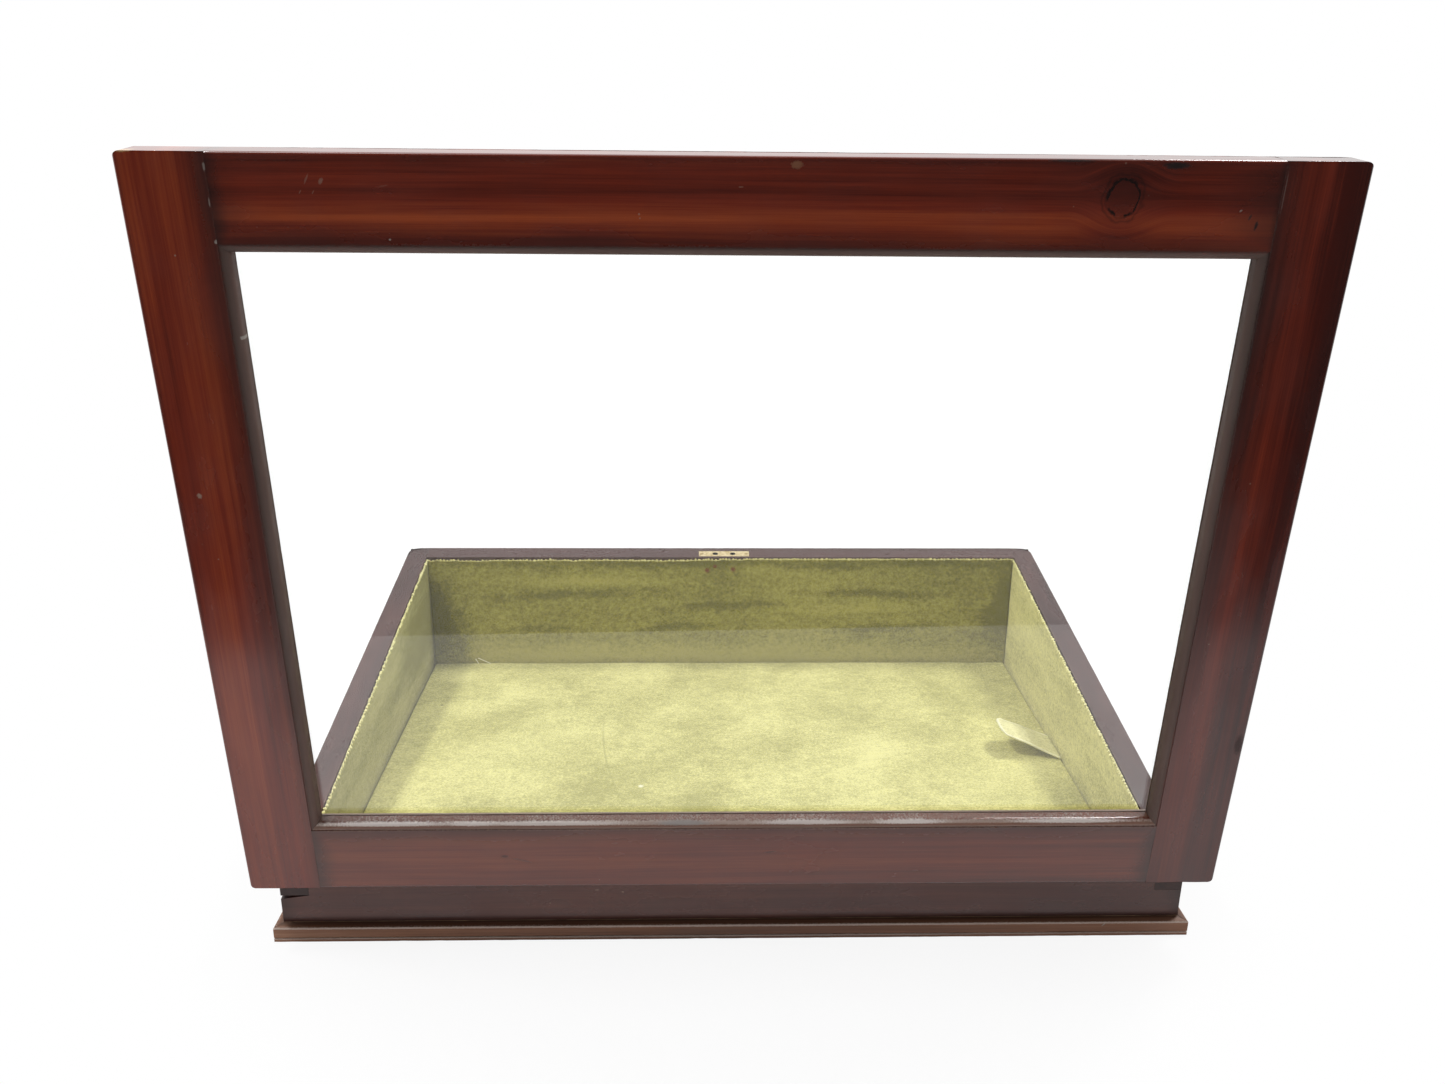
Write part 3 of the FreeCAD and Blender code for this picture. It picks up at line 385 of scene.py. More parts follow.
@dataclass(frozen=True)
class WoodFinish:
    """Stained and polished softwood, its colours from dark grain to light streaks."""

    dark: Colour
    mid: Colour
    light: Colour
    worn: Colour
    grime_and_shade: Colour = shade(0.012, 0.006, 0.005)
    polish: float = 0.20
    rubbed: float = 0.7
    gloss: float = 0.5
    ior: float = 1.52
    ripple: float = 0.16

    def material(self, name: str, grain: Grain, seed: float, marks: Marks) -> bpy.types.Material:
        """Make the finish for one board.

        Args:
            name: The material's name.
            grain: The way that the board lies.
            seed: The board's own place in the figure.
            marks: Its lines of soiling and painted shade, and its streaks, spots and knots.

        Returns:
            The material.
        """
        g = Graph.named(name)
        where = g.place()
        board = g.add("Mapping", {0: where, "Location": grain.shift, "Rotation": grain.turn}).outputs[0]
        u, v, w = g.add("SeparateXYZ", {0: board}).outputs
        bend, rim = self.knot_field(g, u, v, marks.knots)
        sway = g.noise(g.stretch(board, SWAY, seed), 1.0, 1.0)
        figure = g.add("CombineXYZ", {0: u, 1: g.math("MULTIPLY_ADD", sway, 8 * MM, bend), 2: w}).outputs[0]
        streak = g.noise(g.stretch(figure, STREAK, seed), 1.0, 4.0, 0.55)
        lines = g.noise(g.stretch(figure, LINES, seed), 1.0, 3.0, 0.6)
        fibre = g.noise(g.stretch(figure, FIBRE, seed), 1.0, 2.0, 0.6)
        blotch = g.noise(g.stretch(board, BLOTCH, seed + 3.0), 1.0, 3.0, 0.5)
        tone = g.weigh(0.5, *zip((streak, lines, fibre, blotch), FIGURE_MIX))
        for band in marks.bands:
            swung = g.math("MULTIPLY_ADD", blotch, 10 * MM, g.math("SUBTRACT", v, 5 * MM))
            tone = g.math("MULTIPLY_ADD", g.near(swung, band.at, band.reach), band.gain, tone)
        colour = g.ramp(tone, WOOD_STOPS, (self.dark, self.mid, self.light))
        # The wood darkens with soiling, and with painted shade along the lines that meet a moulding or a wall
        dirt_and_shade = self.grime_and_shade_field(g, u, v, board, seed, marks.grime_and_shade)
        colour = g.mix(dirt_and_shade, colour, self.grime_and_shade)
        colour = g.mix(rim, colour, KNOT_RIM)
        colour, rubs = self.spot_field(g, (u, v, w), colour, board, marks)
        cells = g.add("TexVoronoi", {"Vector": g.stretch(board, (1.0, 1.0, 1.0), seed), "Scale": 95.0})
        specks = g.fade(cells.outputs["Distance"], 0.07, 0.035)
        specks = g.math("MULTIPLY", specks, g.fade(g.noise(board, 31.0, 2.0), 0.60, 0.66, 0.0, 0.5))
        colour = g.mix(specks, colour, Tint.RUB.value)
        bare = g.noise(g.stretch(board, RUBBED, seed), 1.0, 4.0, 0.6)
        bare = g.fade(bare, 0.42, 0.64, 0.0, self.rubbed)
        colour = g.mix(g.math("MULTIPLY", g.attribute("arris"), bare), colour, self.worn)
        smear = g.noise(g.stretch(board, SMEAR, seed + 9.0), 1.0, 4.0, 0.6)
        rough = g.fade(smear, 0.3, 0.75, self.polish - 0.05, self.polish + 0.10)
        rough = g.math("MULTIPLY_ADD", dirt_and_shade, 0.2, rough)
        rough = g.math("MULTIPLY_ADD", rubs, 0.5, rough, clamp=True)
        if marks.sleek is not None:
            up = u if grain is Grain.STILE else v
            sleek = g.fade(up, marks.sleek - 1.2 * MM, marks.sleek - 0.4 * MM, 1.0, 0.2)
            rough = g.math("MULTIPLY", rough, sleek)
        waves = g.noise(g.stretch(board, WAVES, seed), 1.0, 2.0)
        normal = g.bump(waves, self.ripple, 1.2 * MM)
        normal = g.bump(g.weigh(0.5, (fibre, 0.8), (lines, 0.6)), 0.16, 0.12 * MM, normal)
        return g.close({"Base Color": colour, "Roughness": rough, "Normal": normal, "IOR": self.ior,
                        "Specular IOR Level": self.gloss})

    def knot_field(self, g: Graph, u: Socket, v: Socket, knots: tuple[Knot, ...]) -> tuple[Socket, Any]:
        """Bend the grain round the knots.

        Args:
            g: The material's tree.
            u: The place along the grain.
            v: The place across it.
            knots: The board's knots.

        Returns:
            The place across the bent grain, and the strength of the knots' rims.
        """
        bent: Socket = v
        rim: Any = 0.0
        for knot in knots:
            du = g.math("DIVIDE", g.math("SUBTRACT", u, knot.u), knot.long)
            dv = g.math("DIVIDE", g.math("SUBTRACT", v, knot.v), knot.wide)
            far = g.oval(du, dv)
            push = g.math("MULTIPLY", dv, g.fade(far, 3.4, 0.8, 0.0, -0.72 * knot.wide))
            wavy = g.noise(g.add("CombineXYZ", {0: du, 1: dv}).outputs[0], 1.3, 2.0)
            far = g.math("ADD", far, g.math("MULTIPLY_ADD", wavy, 0.7, -0.35))
            ring = g.math("MULTIPLY", g.near(far, 1.0, 0.17), g.fade(wavy, 0.36, 0.52, 0.35, 0.95))
            ring = g.math("MAXIMUM", ring, g.math("MULTIPLY", g.near(far, 1.28, 0.14), 0.4))
            ring = g.math("MAXIMUM", ring, g.fade(far, 1.05, 0.8, 0.0, 0.3))
            bent = g.math("ADD", bent, push)
            rim = g.math("MAXIMUM", rim, ring)
        return bent, rim

    def grime_and_shade_field(self, g: Graph, u: Socket, v: Socket, board: Socket, seed: float,
                    lines: tuple[GrimeAndShade, ...]) -> Socket:
        """Gather soiling and painted shade along the given lines, broken up by noise.

        Args:
            g: The material's tree.
            u: The place along the grain.
            v: The place across it.
            board: The board's own coordinates.
            seed: The board's own place in the figure.
            lines: The lines of soiling and painted shade.

        Returns:
            The strength of the soiling and painted shade.
        """
        uneven = g.noise(g.stretch(board, DIRT, seed + 5.0), 1.0, 4.0, 0.6)
        total = g.fade(uneven, 0.62, 0.95, 0.0, 0.35)
        for line in lines:
            spread = g.math("DIVIDE", g.math("SUBTRACT", v if line.across else u, line.at), line.reach)
            beyond = g.fade(spread, -0.14, -0.03)
            ragged = g.math("ADD", spread, g.math("MULTIPLY_ADD", uneven, -0.7, 0.35))
            gathered = g.fade(ragged, 1.05, -0.25, 0.0, line.depth)
            total = g.math("MAXIMUM", total, g.math("MULTIPLY", gathered, beyond))
        return total

    def spot_field(self, g: Graph, place: tuple[Socket, Socket, Socket], colour: Socket, board: Socket,
                   marks: Marks) -> tuple[Socket, Any]:
        """Lay the small marks over a board's colour.

        Args:
            g: The material's tree.
            place: The places along the grain, across it and out of the show face.
            colour: The board's colour so far.
            board: The board's own coordinates.
            marks: The board's marks.

        Returns:
            The marked colour, and the strength of the marks.
        """
        total: Any = 0.0
        if not marks.spots:
            return colour, total
        u, v, w = place
        broken = g.noise(board, 900.0, 3.0, 0.6)
        shown = g.fade(w, marks.face - MM, marks.face)
        ragged = g.fade(g.math("MULTIPLY_ADD", broken, 7 * MM, w), 13 * MM, 19 * MM)
        for spot in marks.spots:
            du, dv = g.math("SUBTRACT", u, spot.u), g.math("SUBTRACT", v, spot.v)
            c, s = math.cos(spot.turn), math.sin(spot.turn)
            long, wide = spot.long * MM, spot.wide * MM
            along = g.math("MULTIPLY_ADD", du, c / long, g.math("MULTIPLY", dv, s / long))
            aside = g.math("MULTIPLY_ADD", dv, c / wide, g.math("MULTIPLY", du, -s / wide))
            far = g.math("MULTIPLY_ADD", broken, 0.9, g.oval(along, aside))
            over = ragged if spot.tint is Tint.RAW else shown
            mark = g.math("MULTIPLY", g.fade(far, 1.5, 0.9, 0.0, spot.strength), over)
            colour = g.mix(mark, colour, spot.tint.value)
            if spot.tint not in (Tint.WORN_AND_HIGHLIGHT, Tint.RUB, Tint.GLEAM):
                total = g.math("MAXIMUM", total, mark)
        return colour, total


@dataclass(frozen=True)
class Patch:
    """A rubbed or shaded place on a cloth, a stain where it has a colour of its own."""

    spot: Place
    reach: float
    gain: float
    stain: Colour | None = None


@dataclass(frozen=True)
class Crease:
    """A long soft line in the nap of the back wall, darker where its gain is below zero."""

    x: float
    z: float
    long: float
    wide: float
    slope: float
    gain: float


@dataclass(frozen=True)
class Hair:
    """A long thin line in the nap of the floor, part of a ring, which fades away from the floor's middle."""

    middle: Place
    bow: float
    thick: float
    reach: float
    strength: float


@dataclass(frozen=True)
class VelvetFinish:
    """Faded short-pile velvet, its nap rubbed into paler and darker patches, some of the darker ones painted
    shade.
    """

    deep: Colour
    mid: Colour
    pale: Colour
    frayed: Colour = shade(0.95, 0.90, 0.46)
    nap: Place = (13.0, 15.0, 13.0)
    rub: Place = (40.0, 44.0, 44.0)
    brush: Place = (150.0, 210.0, 210.0)
    pile: float = 520.0
    weights: tuple[float, float, float, float] = (0.55, 0.34, 0.70, 1.10)
    seed: float = 0.0
    patches: tuple[Patch, ...] = ()
    creases: tuple[Crease, ...] = ()
    hair: Hair | None = None

    def with_painted_light(self, gain: float) -> "VelvetFinish":
        """Return a copy of the velvet with its colours scaled, painted shade below 1 and painted light above
        it.

        Args:
            gain: The factor on its colours.

        Returns:
            The copy.
        """
        colours = (self.deep, self.mid, self.pale)
        deep, mid, pale = (shade(*(c * gain for c in colour[:3])) for colour in colours)
        return replace(self, deep=deep, mid=mid, pale=pale)

    def material(self, name: str) -> bpy.types.Material:
        """Make the finish.

        Args:
            name: The material's name.

        Returns:
            The material.
        """
        g = Graph.named(name)
        where = g.place()
        nap = g.noise(g.stretch(where, self.nap, self.seed), 1.0, 4.0, 0.6, 0.15)
        rubs = g.noise(g.stretch(where, self.rub, self.seed + 2.0), 1.0, 8.0, 0.78)
        brush = g.noise(g.stretch(where, self.brush, self.seed + 4.0), 1.0, 5.0, 0.8)
        pile = g.noise(where, self.pile, 3.0, 0.8)
        tone = g.weigh(0.5, *zip((nap, rubs, brush, pile), self.weights))
        for crease in self.creases:
            tone = g.math("MULTIPLY_ADD", self.crease_field(g, where, rubs, crease), crease.gain, tone)
        for patch in self.patches:
            if patch.stain is None:
                tone = g.math("MULTIPLY_ADD", self.patch_field(g, where, rubs, patch), patch.gain, tone)
        colour = g.ramp(tone, CLOTH_STOPS, (self.deep, self.mid, self.pale))
        for patch in self.patches:
            if patch.stain is not None:
                mark = g.math("MULTIPLY", self.patch_field(g, where, rubs, patch), patch.gain)
                colour = g.mix(mark, colour, patch.stain)
        if self.hair is not None:
            colour = g.mix(self.hair_field(g, where, self.hair), colour, self.deep)
        colour = g.mix(g.math("MULTIPLY", g.attribute("frayed"), 0.9), colour, self.frayed)
        normal = g.bump(g.weigh(0.5, (rubs, 0.3), (brush, 0.7)), 0.06, 0.8 * MM)
        normal = g.bump(pile, 0.5, 0.6 * MM, normal)
        return g.close({"Base Color": colour, "Roughness": 0.95, "Normal": normal, "Specular IOR Level": 0.12,
                        "Sheen Weight": 0.2, "Sheen Roughness": 0.45, "Sheen Tint": shade(0.85, 0.82, 0.50)})

    def crease_field(self, g: Graph, where: Socket, ragged: Socket, crease: Crease) -> Socket:
        """Draw one crease on the back wall, which wanders a little along its line.

        Args:
            g: The material's tree.
            where: The place on the cloth.
            ragged: The noise that breaks its edge.
            crease: The crease.

        Returns:
            Its strength.
        """
        x, _, z = g.add("SeparateXYZ", {0: where}).outputs
        du, dv = g.math("SUBTRACT", x, crease.x), g.math("SUBTRACT", z, crease.z)
        sway = g.noise(g.stretch(where, (16.0, 16.0, 4.0), crease.x * 40.0), 1.0, 2.0)
        sway = g.math("MULTIPLY_ADD", sway, 16 * MM, -8 * MM)
        dv = g.math("ADD", dv, g.math("MULTIPLY_ADD", du, -crease.slope, sway))
        far = g.oval(g.math("DIVIDE", du, crease.long), g.math("DIVIDE", dv, crease.wide))
        return g.fade(g.math("MULTIPLY_ADD", ragged, 0.8, far), 1.4, 0.4)

    def patch_field(self, g: Graph, where: Socket, ragged: Socket, patch: Patch) -> Socket:
        """Draw one patch, its edge broken by the nap.

        Args:
            g: The material's tree.
            where: The place on the cloth.
            ragged: The noise that breaks its edge.
            patch: The patch.

        Returns:
            Its strength.
        """
        far = g.math("DIVIDE", g.distance(where, patch.spot), patch.reach)
        far = g.math("MULTIPLY_ADD", ragged, 0.9, far)
        return g.fade(far, 1.45, 0.65)

    def hair_field(self, g: Graph, where: Socket, hair: Hair) -> Socket:
        """Draw the long line in the nap of the floor.

        Args:
            g: The material's tree.
            where: The place on the cloth.
            hair: The line.

        Returns:
            Its strength.
        """
        line = g.near(g.distance(where, hair.middle), hair.bow, hair.thick)
        y = g.add("SeparateXYZ", {0: where}).outputs[1]
        return g.math("MULTIPLY", line, g.fade(g.math("ABSOLUTE", y), hair.reach, 0.0, 0.0, hair.strength))


@dataclass(frozen=True)
class MetalFinish:
    """Old metal, bright where it is handled and dull elsewhere.

    If it has a shade height, the metal below that height over the slope is painted black as shade inside
    the lock, and so is the metal round each of its holes, painted shade in the slots.
    """

    bright: Colour
    dull: Colour
    rough: float = 0.32
    metallic: float = 1.0
    shade_height: float | None = None
    holes: tuple[Place, ...] = ()
    # The radii where the painted shade round each hole starts and where it is full
    stain: tuple[float, float] = (3.1 * MM, 2.2 * MM)

    def material(self, name: str) -> bpy.types.Material:
        """Make the finish.

        Args:
            name: The material's name.

        Returns:
            The material.
        """
        g = Graph.named(name)
        where = g.place()
        patina = g.noise(where, 260.0, 6.0, 0.65)
        lines = g.noise(g.stretch(where, (120.0, 2600.0, 2600.0)), 1.0, 2.0)
        tone = g.weigh(0.5, (patina, 0.75), (lines, 0.25))
        colour = g.ramp(tone, METAL_STOPS, (self.dull, self.bright))
        # The lock's inside below the plate and the metal round its slots are painted black as shade
        if self.shade_height is not None:
            out = (0.0, -math.sin(SLOPE_TURN), math.cos(SLOPE_TURN))
            height = g.add("VectorMath", {0: where, 1: out}, operation="DOT_PRODUCT").outputs["Value"]
            colour = g.mix(g.fade(height, self.shade_height, self.shade_height - 0.5 * MM), colour, SLOT_SHADE)
        for hole in self.holes:
            black = g.fade(g.distance(where, hole), *self.stain, 0.0, 0.95)
            colour = g.mix(black, colour, SLOT_SHADE)
        rough = g.fade(tone, 0.35, 0.65, self.rough + 0.2, self.rough - 0.08)
        normal = g.bump(tone, 0.3, 0.1 * MM)
        return g.close({"Base Color": colour, "Roughness": rough, "Normal": normal,
                        "Metallic": self.metallic})


@dataclass(frozen=True)
class GlassFinish:
    """Old clear sheet glass with a trace of wipe marks."""

    clear: Colour = shade(0.995, 1.0, 0.995)
    smeared: Colour = shade(0.97, 0.98, 0.97)

    def material(self, name: str) -> bpy.types.Material:
        """Make the finish.

        Args:
            name: The material's name.

        Returns:
            The material.
        """
        g = Graph.named(name)
        where = g.place()
        wipe = g.noise(g.stretch(where, (7.0, 7.0, 16.0)), 1.0, 5.0, 0.6, 1.2)
        colour = g.ramp(wipe, GLASS_STOPS, (self.clear, self.smeared))
        normal = g.bump(g.noise(where, 3.0, 1.0), 0.04, 2.0 * MM)
        return g.close({"Base Color": colour, "Roughness": 0.0, "Normal": normal, "IOR": 1.6,
                        "Transmission Weight": 1.0})


LID_WOOD = WoodFinish(shade(0.086, 0.0100, 0.0052), shade(0.255, 0.030, 0.0112), shade(0.48, 0.084, 0.022),
                      shade(0.30, 0.13, 0.075), ior=1.64)
RAIL_WOOD = WoodFinish(shade(0.066, 0.0105, 0.0052), shade(0.172, 0.028, 0.0112), shade(0.30, 0.068, 0.021),
                       shade(0.30, 0.13, 0.075), ior=1.64)
CASE_WOOD = WoodFinish(shade(0.040, 0.010, 0.007), shade(0.095, 0.026, 0.017), shade(0.18, 0.057, 0.034),
                       shade(0.26, 0.13, 0.085), polish=0.27, ripple=0.06)
BASE_WOOD = WoodFinish(shade(0.095, 0.036, 0.018), shade(0.27, 0.118, 0.062), shade(0.45, 0.24, 0.14),
                       shade(0.60, 0.45, 0.33), polish=0.42, rubbed=1.0, gloss=0.35)
BEAD_WOOD = WoodFinish(shade(0.050, 0.030, 0.022), shade(0.115, 0.072, 0.054), shade(0.19, 0.125, 0.095),
                       shade(0.28, 0.19, 0.14), polish=0.40)
DUSTY_WOOD = WoodFinish(shade(0.15, 0.105, 0.085), shade(0.28, 0.205, 0.170), shade(0.38, 0.29, 0.24),
                        shade(0.40, 0.31, 0.25), polish=0.55)
EDGE_WOOD = WoodFinish(shade(0.032, 0.012, 0.010), shade(0.064, 0.025, 0.021), shade(0.112, 0.047, 0.038),
                       shade(0.28, 0.16, 0.11), polish=0.30, gloss=0.36)
BARE_WOOD = WoodFinish(shade(0.22, 0.13, 0.07), shade(0.36, 0.23, 0.13), shade(0.48, 0.33, 0.20),
                       shade(0.50, 0.37, 0.24), grime_and_shade=shade(0.10, 0.06, 0.035), polish=0.62)
KNOT_RIM = shade(0.012, 0.005, 0.004)
# Painted shade inside the lock and its slots
SLOT_SHADE = shade(0.006, 0.005, 0.004)
RUST = shade(0.20, 0.050, 0.010)
SOOT = shade(0.07, 0.055, 0.02)
CHALK = shade(0.90, 0.88, 0.66)
BACK_CREASES = (
    Crease(-0.150, 0.0925, 0.125, 7 * MM, 0.035, -0.26),
    Crease(0.010, 0.0815, 0.085, 7 * MM, 0.06, -0.24),
    Crease(-0.045, 0.0570, 0.060, 6 * MM, 0.08, -0.22),
    Crease(0.150, 0.0940, 0.100, 7 * MM, -0.02, -0.27),
    Crease(0.160, 0.0600, 0.090, 7 * MM, 0.04, -0.22),
    Crease(-0.130, 0.1060, 0.140, 8 * MM, 0.01, 0.21),
    Crease(0.120, 0.0780, 0.120, 8 * MM, 0.02, 0.15),
    Crease(-0.180, 0.0560, 0.080, 6 * MM, 0.02, -0.18),
    Crease(0.060, 0.1250, 0.600, 8 * MM, 0.0, -0.24),
    Crease(0.0, 0.0280, 0.700, 21 * MM, 0.0, 0.24),
)
BACK_PATCHES = (
    Patch(on_back(-0.0146, 0.1181), 3.4 * MM, 0.95, RUST),
    Patch(on_back(0.0107, 0.1191), 3.6 * MM, 0.95, RUST),
    Patch(on_back(-0.0069, 0.1222), 2.6 * MM, 0.9, RUST),
    Patch(on_back(-0.005, 0.112), 0.030, -0.12),
    # The dark patches at both ends are painted shade in the back corners, at the left a painted shadow of the
    # left wall
    Patch(on_back(0.286, 0.108), 0.024, -0.26),
    Patch(on_back(0.286, 0.078), 0.034, -0.24),
    Patch(on_back(0.286, 0.052), 0.052, -0.20),
    Patch(on_back(-0.286, 0.084), 0.033, -0.24),
    Patch(on_back(-0.286, 0.052), 0.054, -0.26),
)
FLOOR_PATCHES = (
    Patch(on_floor(-0.252, 0.165), 0.03, 0.14),
    Patch(on_floor(-0.235, -0.06), 0.07, 0.10),
    Patch(on_floor(0.13, 0.02), 0.05, 0.08),
    Patch(on_floor(-0.02, 0.05), 0.045, -0.10),
    Patch(on_floor(-0.05, -0.20), 0.22, -0.15),
    Patch(on_floor(0.05, 0.13), 0.06, 0.06),
    Patch(on_floor(-0.2591, 0.0974), 2.4 * MM, 0.75, SOOT),
    Patch(on_floor(-0.0704, -0.0507), 3.2 * MM, 0.9, CHALK),
)
BACK_VELVET = VelvetFinish(shade(0.190, 0.176, 0.026), shade(0.330, 0.302, 0.056), shade(0.47, 0.430, 0.108),
                           frayed=shade(0.68, 0.62, 0.26), nap=(7.0, 7.0, 15.0), rub=(40.0, 40.0, 46.0),
                           weights=(0.45, 0.38, 0.80, 1.15), seed=4.0, patches=BACK_PATCHES,
                           creases=BACK_CREASES)
# Its dark patch near the back of the left wall is painted shade in the back-left corner
SIDE_VELVET = VelvetFinish(shade(0.35, 0.33, 0.118), shade(0.575, 0.545, 0.245), shade(0.74, 0.70, 0.345),
                           nap=(8.0, 3.2, 26.0), rub=(30.0, 14.0, 60.0), weights=(0.85, 0.60, 0.65, 1.10),
                           seed=6.0, patches=(Patch((-0.284, 0.185, 0.085), 0.15, -0.24),))
FLOOR_VELVET = VelvetFinish(shade(0.39, 0.372, 0.127), shade(0.585, 0.556, 0.213), shade(0.78, 0.745, 0.320),
                            weights=(0.85, 0.40, 0.70, 1.10), patches=FLOOR_PATCHES,
                            hair=Hair(on_floor(0.332, 0.069), 0.440, 1.5 * MM, 0.11, 0.6))
# A paler copy of the floor's velvet for the tab and the loose threads, painted light on them
PAINTED_LIGHT_TAB_VELVET = VelvetFinish(shade(0.52, 0.49, 0.22), shade(0.78, 0.75, 0.40), shade(0.90, 0.87, 0.53), seed=8.0,
                          frayed=shade(0.97, 0.95, 0.72))
BRASS = MetalFinish(shade(0.72, 0.56, 0.28), shade(0.30, 0.21, 0.09))
LOCK_BRASS = MetalFinish(shade(0.90, 0.76, 0.46), shade(0.50, 0.38, 0.18), shade_height=0.0984)
STEEL = MetalFinish(shade(0.30, 0.26, 0.23), shade(0.12, 0.07, 0.045), rough=0.45)
GLASS = GlassFinish()


def link_mesh(bm: bmesh.types.BMesh, name: str, *materials: bpy.types.Material) -> bpy.types.Object:
    """Turn a bmesh into an object in the scene.

    Args:
        bm: The shape, in metres in the shared frame. It is freed.
        name: The object's name.
        *materials: Its materials, in order.

    Returns:
        The new object.
    """
    mesh = bpy.data.meshes.new(name)
    bm.to_mesh(mesh)
    bm.free()
    item = bpy.data.objects.new(name, mesh)
    bpy.context.scene.collection.objects.link(item)
    for material in materials:
        mesh.materials.append(material)
    return item


def add_piece(bm: bmesh.types.BMesh, name: str, body: str,
              material: bpy.types.Material) -> bpy.types.Object:
    """Turn a bmesh into a piece that rides on a body.

    Args:
        bm: The shape, in metres in the shared frame. It is freed.
        name: The piece's name.
        body: The body that it rides on.
        material: Its material.

    Returns:
        The new object.
    """
    piece = link_mesh(bm, name, material)
    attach(piece, body)
    LOG.info("%s: %d faces", name, len(piece.data.polygons))
    return piece


def smooth_faces(bm: bmesh.types.BMesh) -> None:
    """Shade every face smoothly."""
    for face in bm.faces:
        face.smooth = True


def round_edges(bm: bmesh.types.BMesh, edges: list[bmesh.types.BMEdge], size: float, segments: int = 4,
                clamp: bool = False) -> list[bmesh.types.BMFace]:
    """Round some edges of a shape.

    Args:
        bm: The shape.
        edges: The edges.
        size: How far the round starts from each edge.
        segments: Its number of facets.
        clamp: Whether rounds that would meet are held apart.

    Returns:
        The new faces.
    """
    return bmesh.ops.bevel(bm, geom=edges, offset=size, affect="EDGES", segments=segments, profile=0.5,
                           material=-1, offset_type="OFFSET", clamp_overlap=clamp)["faces"]


def fray(bm: bmesh.types.BMesh) -> None:
    """Mark a whole shape as frayed thread.

    Args:
        bm: The shape.
    """
    layer = bm.verts.layers.float.new("frayed")
    for vert in bm.verts:
        vert[layer] = 1.0


def thicken(piece: bpy.types.Object, thick: float, offset: float = -1.0) -> None:
    """Give a sheet its thickness.

    Args:
        piece: The sheet.
        thick: Its thickness.
        offset: Where the thickness lies: -1 behind the face, 0 to both sides of it.
    """
    cloth = piece.modifiers.new("cloth", "SOLIDIFY")
    cloth.thickness = thick
    cloth.offset = offset


def dress(node: str, material: bpy.types.Material) -> None:
    """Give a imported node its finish.

    Args:
        node: The node's name.
        material: The finish.
    """
    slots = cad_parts[node].data.materials
    slots.clear()
    slots.append(material)
    LOG.info("%s dressed", node)


# How near loose corners are welded, and the angles at which edges count as flat, as an arris and as sharp
WELD = 0.002 * MM
FLAT_ANGLE = math.radians(0.4)
ARRIS_ANGLE = math.radians(38)
SHARP_ANGLE = math.radians(50)


@dataclass(frozen=True)
class Nick:
    """A bite out of an arris."""

    spot: Vector
    reach: float
    depth: float


@dataclass
class Board:
    """One wooden piece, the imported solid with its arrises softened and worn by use."""

    node: str
    body: str
    slot: str
    finish: WoodFinish
    grain: Grain
    seed: float
    marks: Marks = field(default_factory=Marks)
    arris: float = 0.6 * MM
    wear: float = 0.35 * MM
    shortest: float = 2.4 * MM
    step: float = 4 * MM
    most_cuts: int = 150
    bite_often: float = 90.0
    bites: tuple[tuple[float, float], ...] = ((1.0, 0.6), (3.7, 0.4))
    corner: float = 0.0
    nicks: tuple[Nick, ...] = ()
    damage: Callable[[bmesh.types.BMesh], None] | None = None

    def build(self) -> bpy.types.Object:
        """Build and dress the piece.

        Returns:
            The piece, which stands for its node.
        """
        bm = bmesh.new()
        bm.from_mesh(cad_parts[self.node].data)
        bmesh.ops.remove_doubles(bm, verts=bm.verts, dist=WELD)
        bmesh.ops.dissolve_limit(bm, angle_limit=FLAT_ANGLE, verts=bm.verts, edges=bm.edges)
        if self.damage is not None:
            self.damage(bm)
        if self.corner:
            self.round_corners(bm)
        self.soften(bm)
        material = self.finish.material("wood_" + self.node, self.grain, self.seed, self.marks)
        piece = add_piece(bm, "worn_" + self.node, self.body, material)
        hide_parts(self.node)
        normals = piece.modifiers.new("even shading", "WEIGHTED_NORMAL")
        normals.keep_sharp = True
        return piece

    def round_corners(self, bm: bmesh.types.BMesh) -> None:
        """Round a stile's outer corners, seen from the front.

        Args:
            bm: The stile's shape.
        """
        low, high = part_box(self.node)
        side = high[0] if high[0] > 0 else low[0]
        out = Vector(LID_OUT)
        corners = []
        for edge in bm.edges:
            line = edge.verts[1].co - edge.verts[0].co
            outer = all(abs(v.co.x - side) < NEAR for v in edge.verts)
            if outer and line.length > 5 * MM and abs(line.normalized().dot(out)) > 0.99:
                corners.append(edge)
        round_edges(bm, corners, self.corner)

    def soften(self, bm: bmesh.types.BMesh) -> None:
        """Round the outer arrises, wear them unevenly and nick them.

        Args:
            bm: The board's shape.
        """
        layer = bm.faces.layers.float.new("arris")
        sharp = [e for e in bm.edges if self.is_arris(e)]
        for edge in sharp:
            cuts = min(int(edge.calc_length() / self.step), self.most_cuts)
            if cuts:
                bmesh.ops.bisect_edges(bm, edges=[edge], cuts=cuts)
        sharp = [e for e in bm.edges if self.is_arris(e)]
        made = round_edges(bm, sharp, self.arris, 2, True)
        for face in made:
            face[layer] = 1.0
        bm.normal_update()
        moved = {v for f in made for v in f.verts}
        for vert in moved:
            spot = vert.co * self.bite_often + Vector((self.seed, 0.0, 0.0))
            depth = self.wear * max(0.0, layered(spot, self.bites))
            for nick in self.nicks:
                near = 1.0 - (vert.co - nick.spot).length / nick.reach
                depth = max(depth, nick.depth * max(0.0, near) ** 0.5)
            vert.co -= vert.normal * depth
        smooth_faces(bm)
        for edge in bm.edges:
            edge.smooth = edge.calc_face_angle(0.0) < SHARP_ANGLE

    def is_arris(self, edge: bmesh.types.BMEdge) -> bool:
        """Tell whether an edge is an outer corner long enough to be softened.

        Args:
            edge: The edge.

        Returns:
            Whether it is one.
        """
        if len(edge.link_faces) != 2 or not edge.is_convex:
            return False
        return edge.calc_face_angle(0.0) > ARRIS_ANGLE and edge.calc_length() > self.shortest


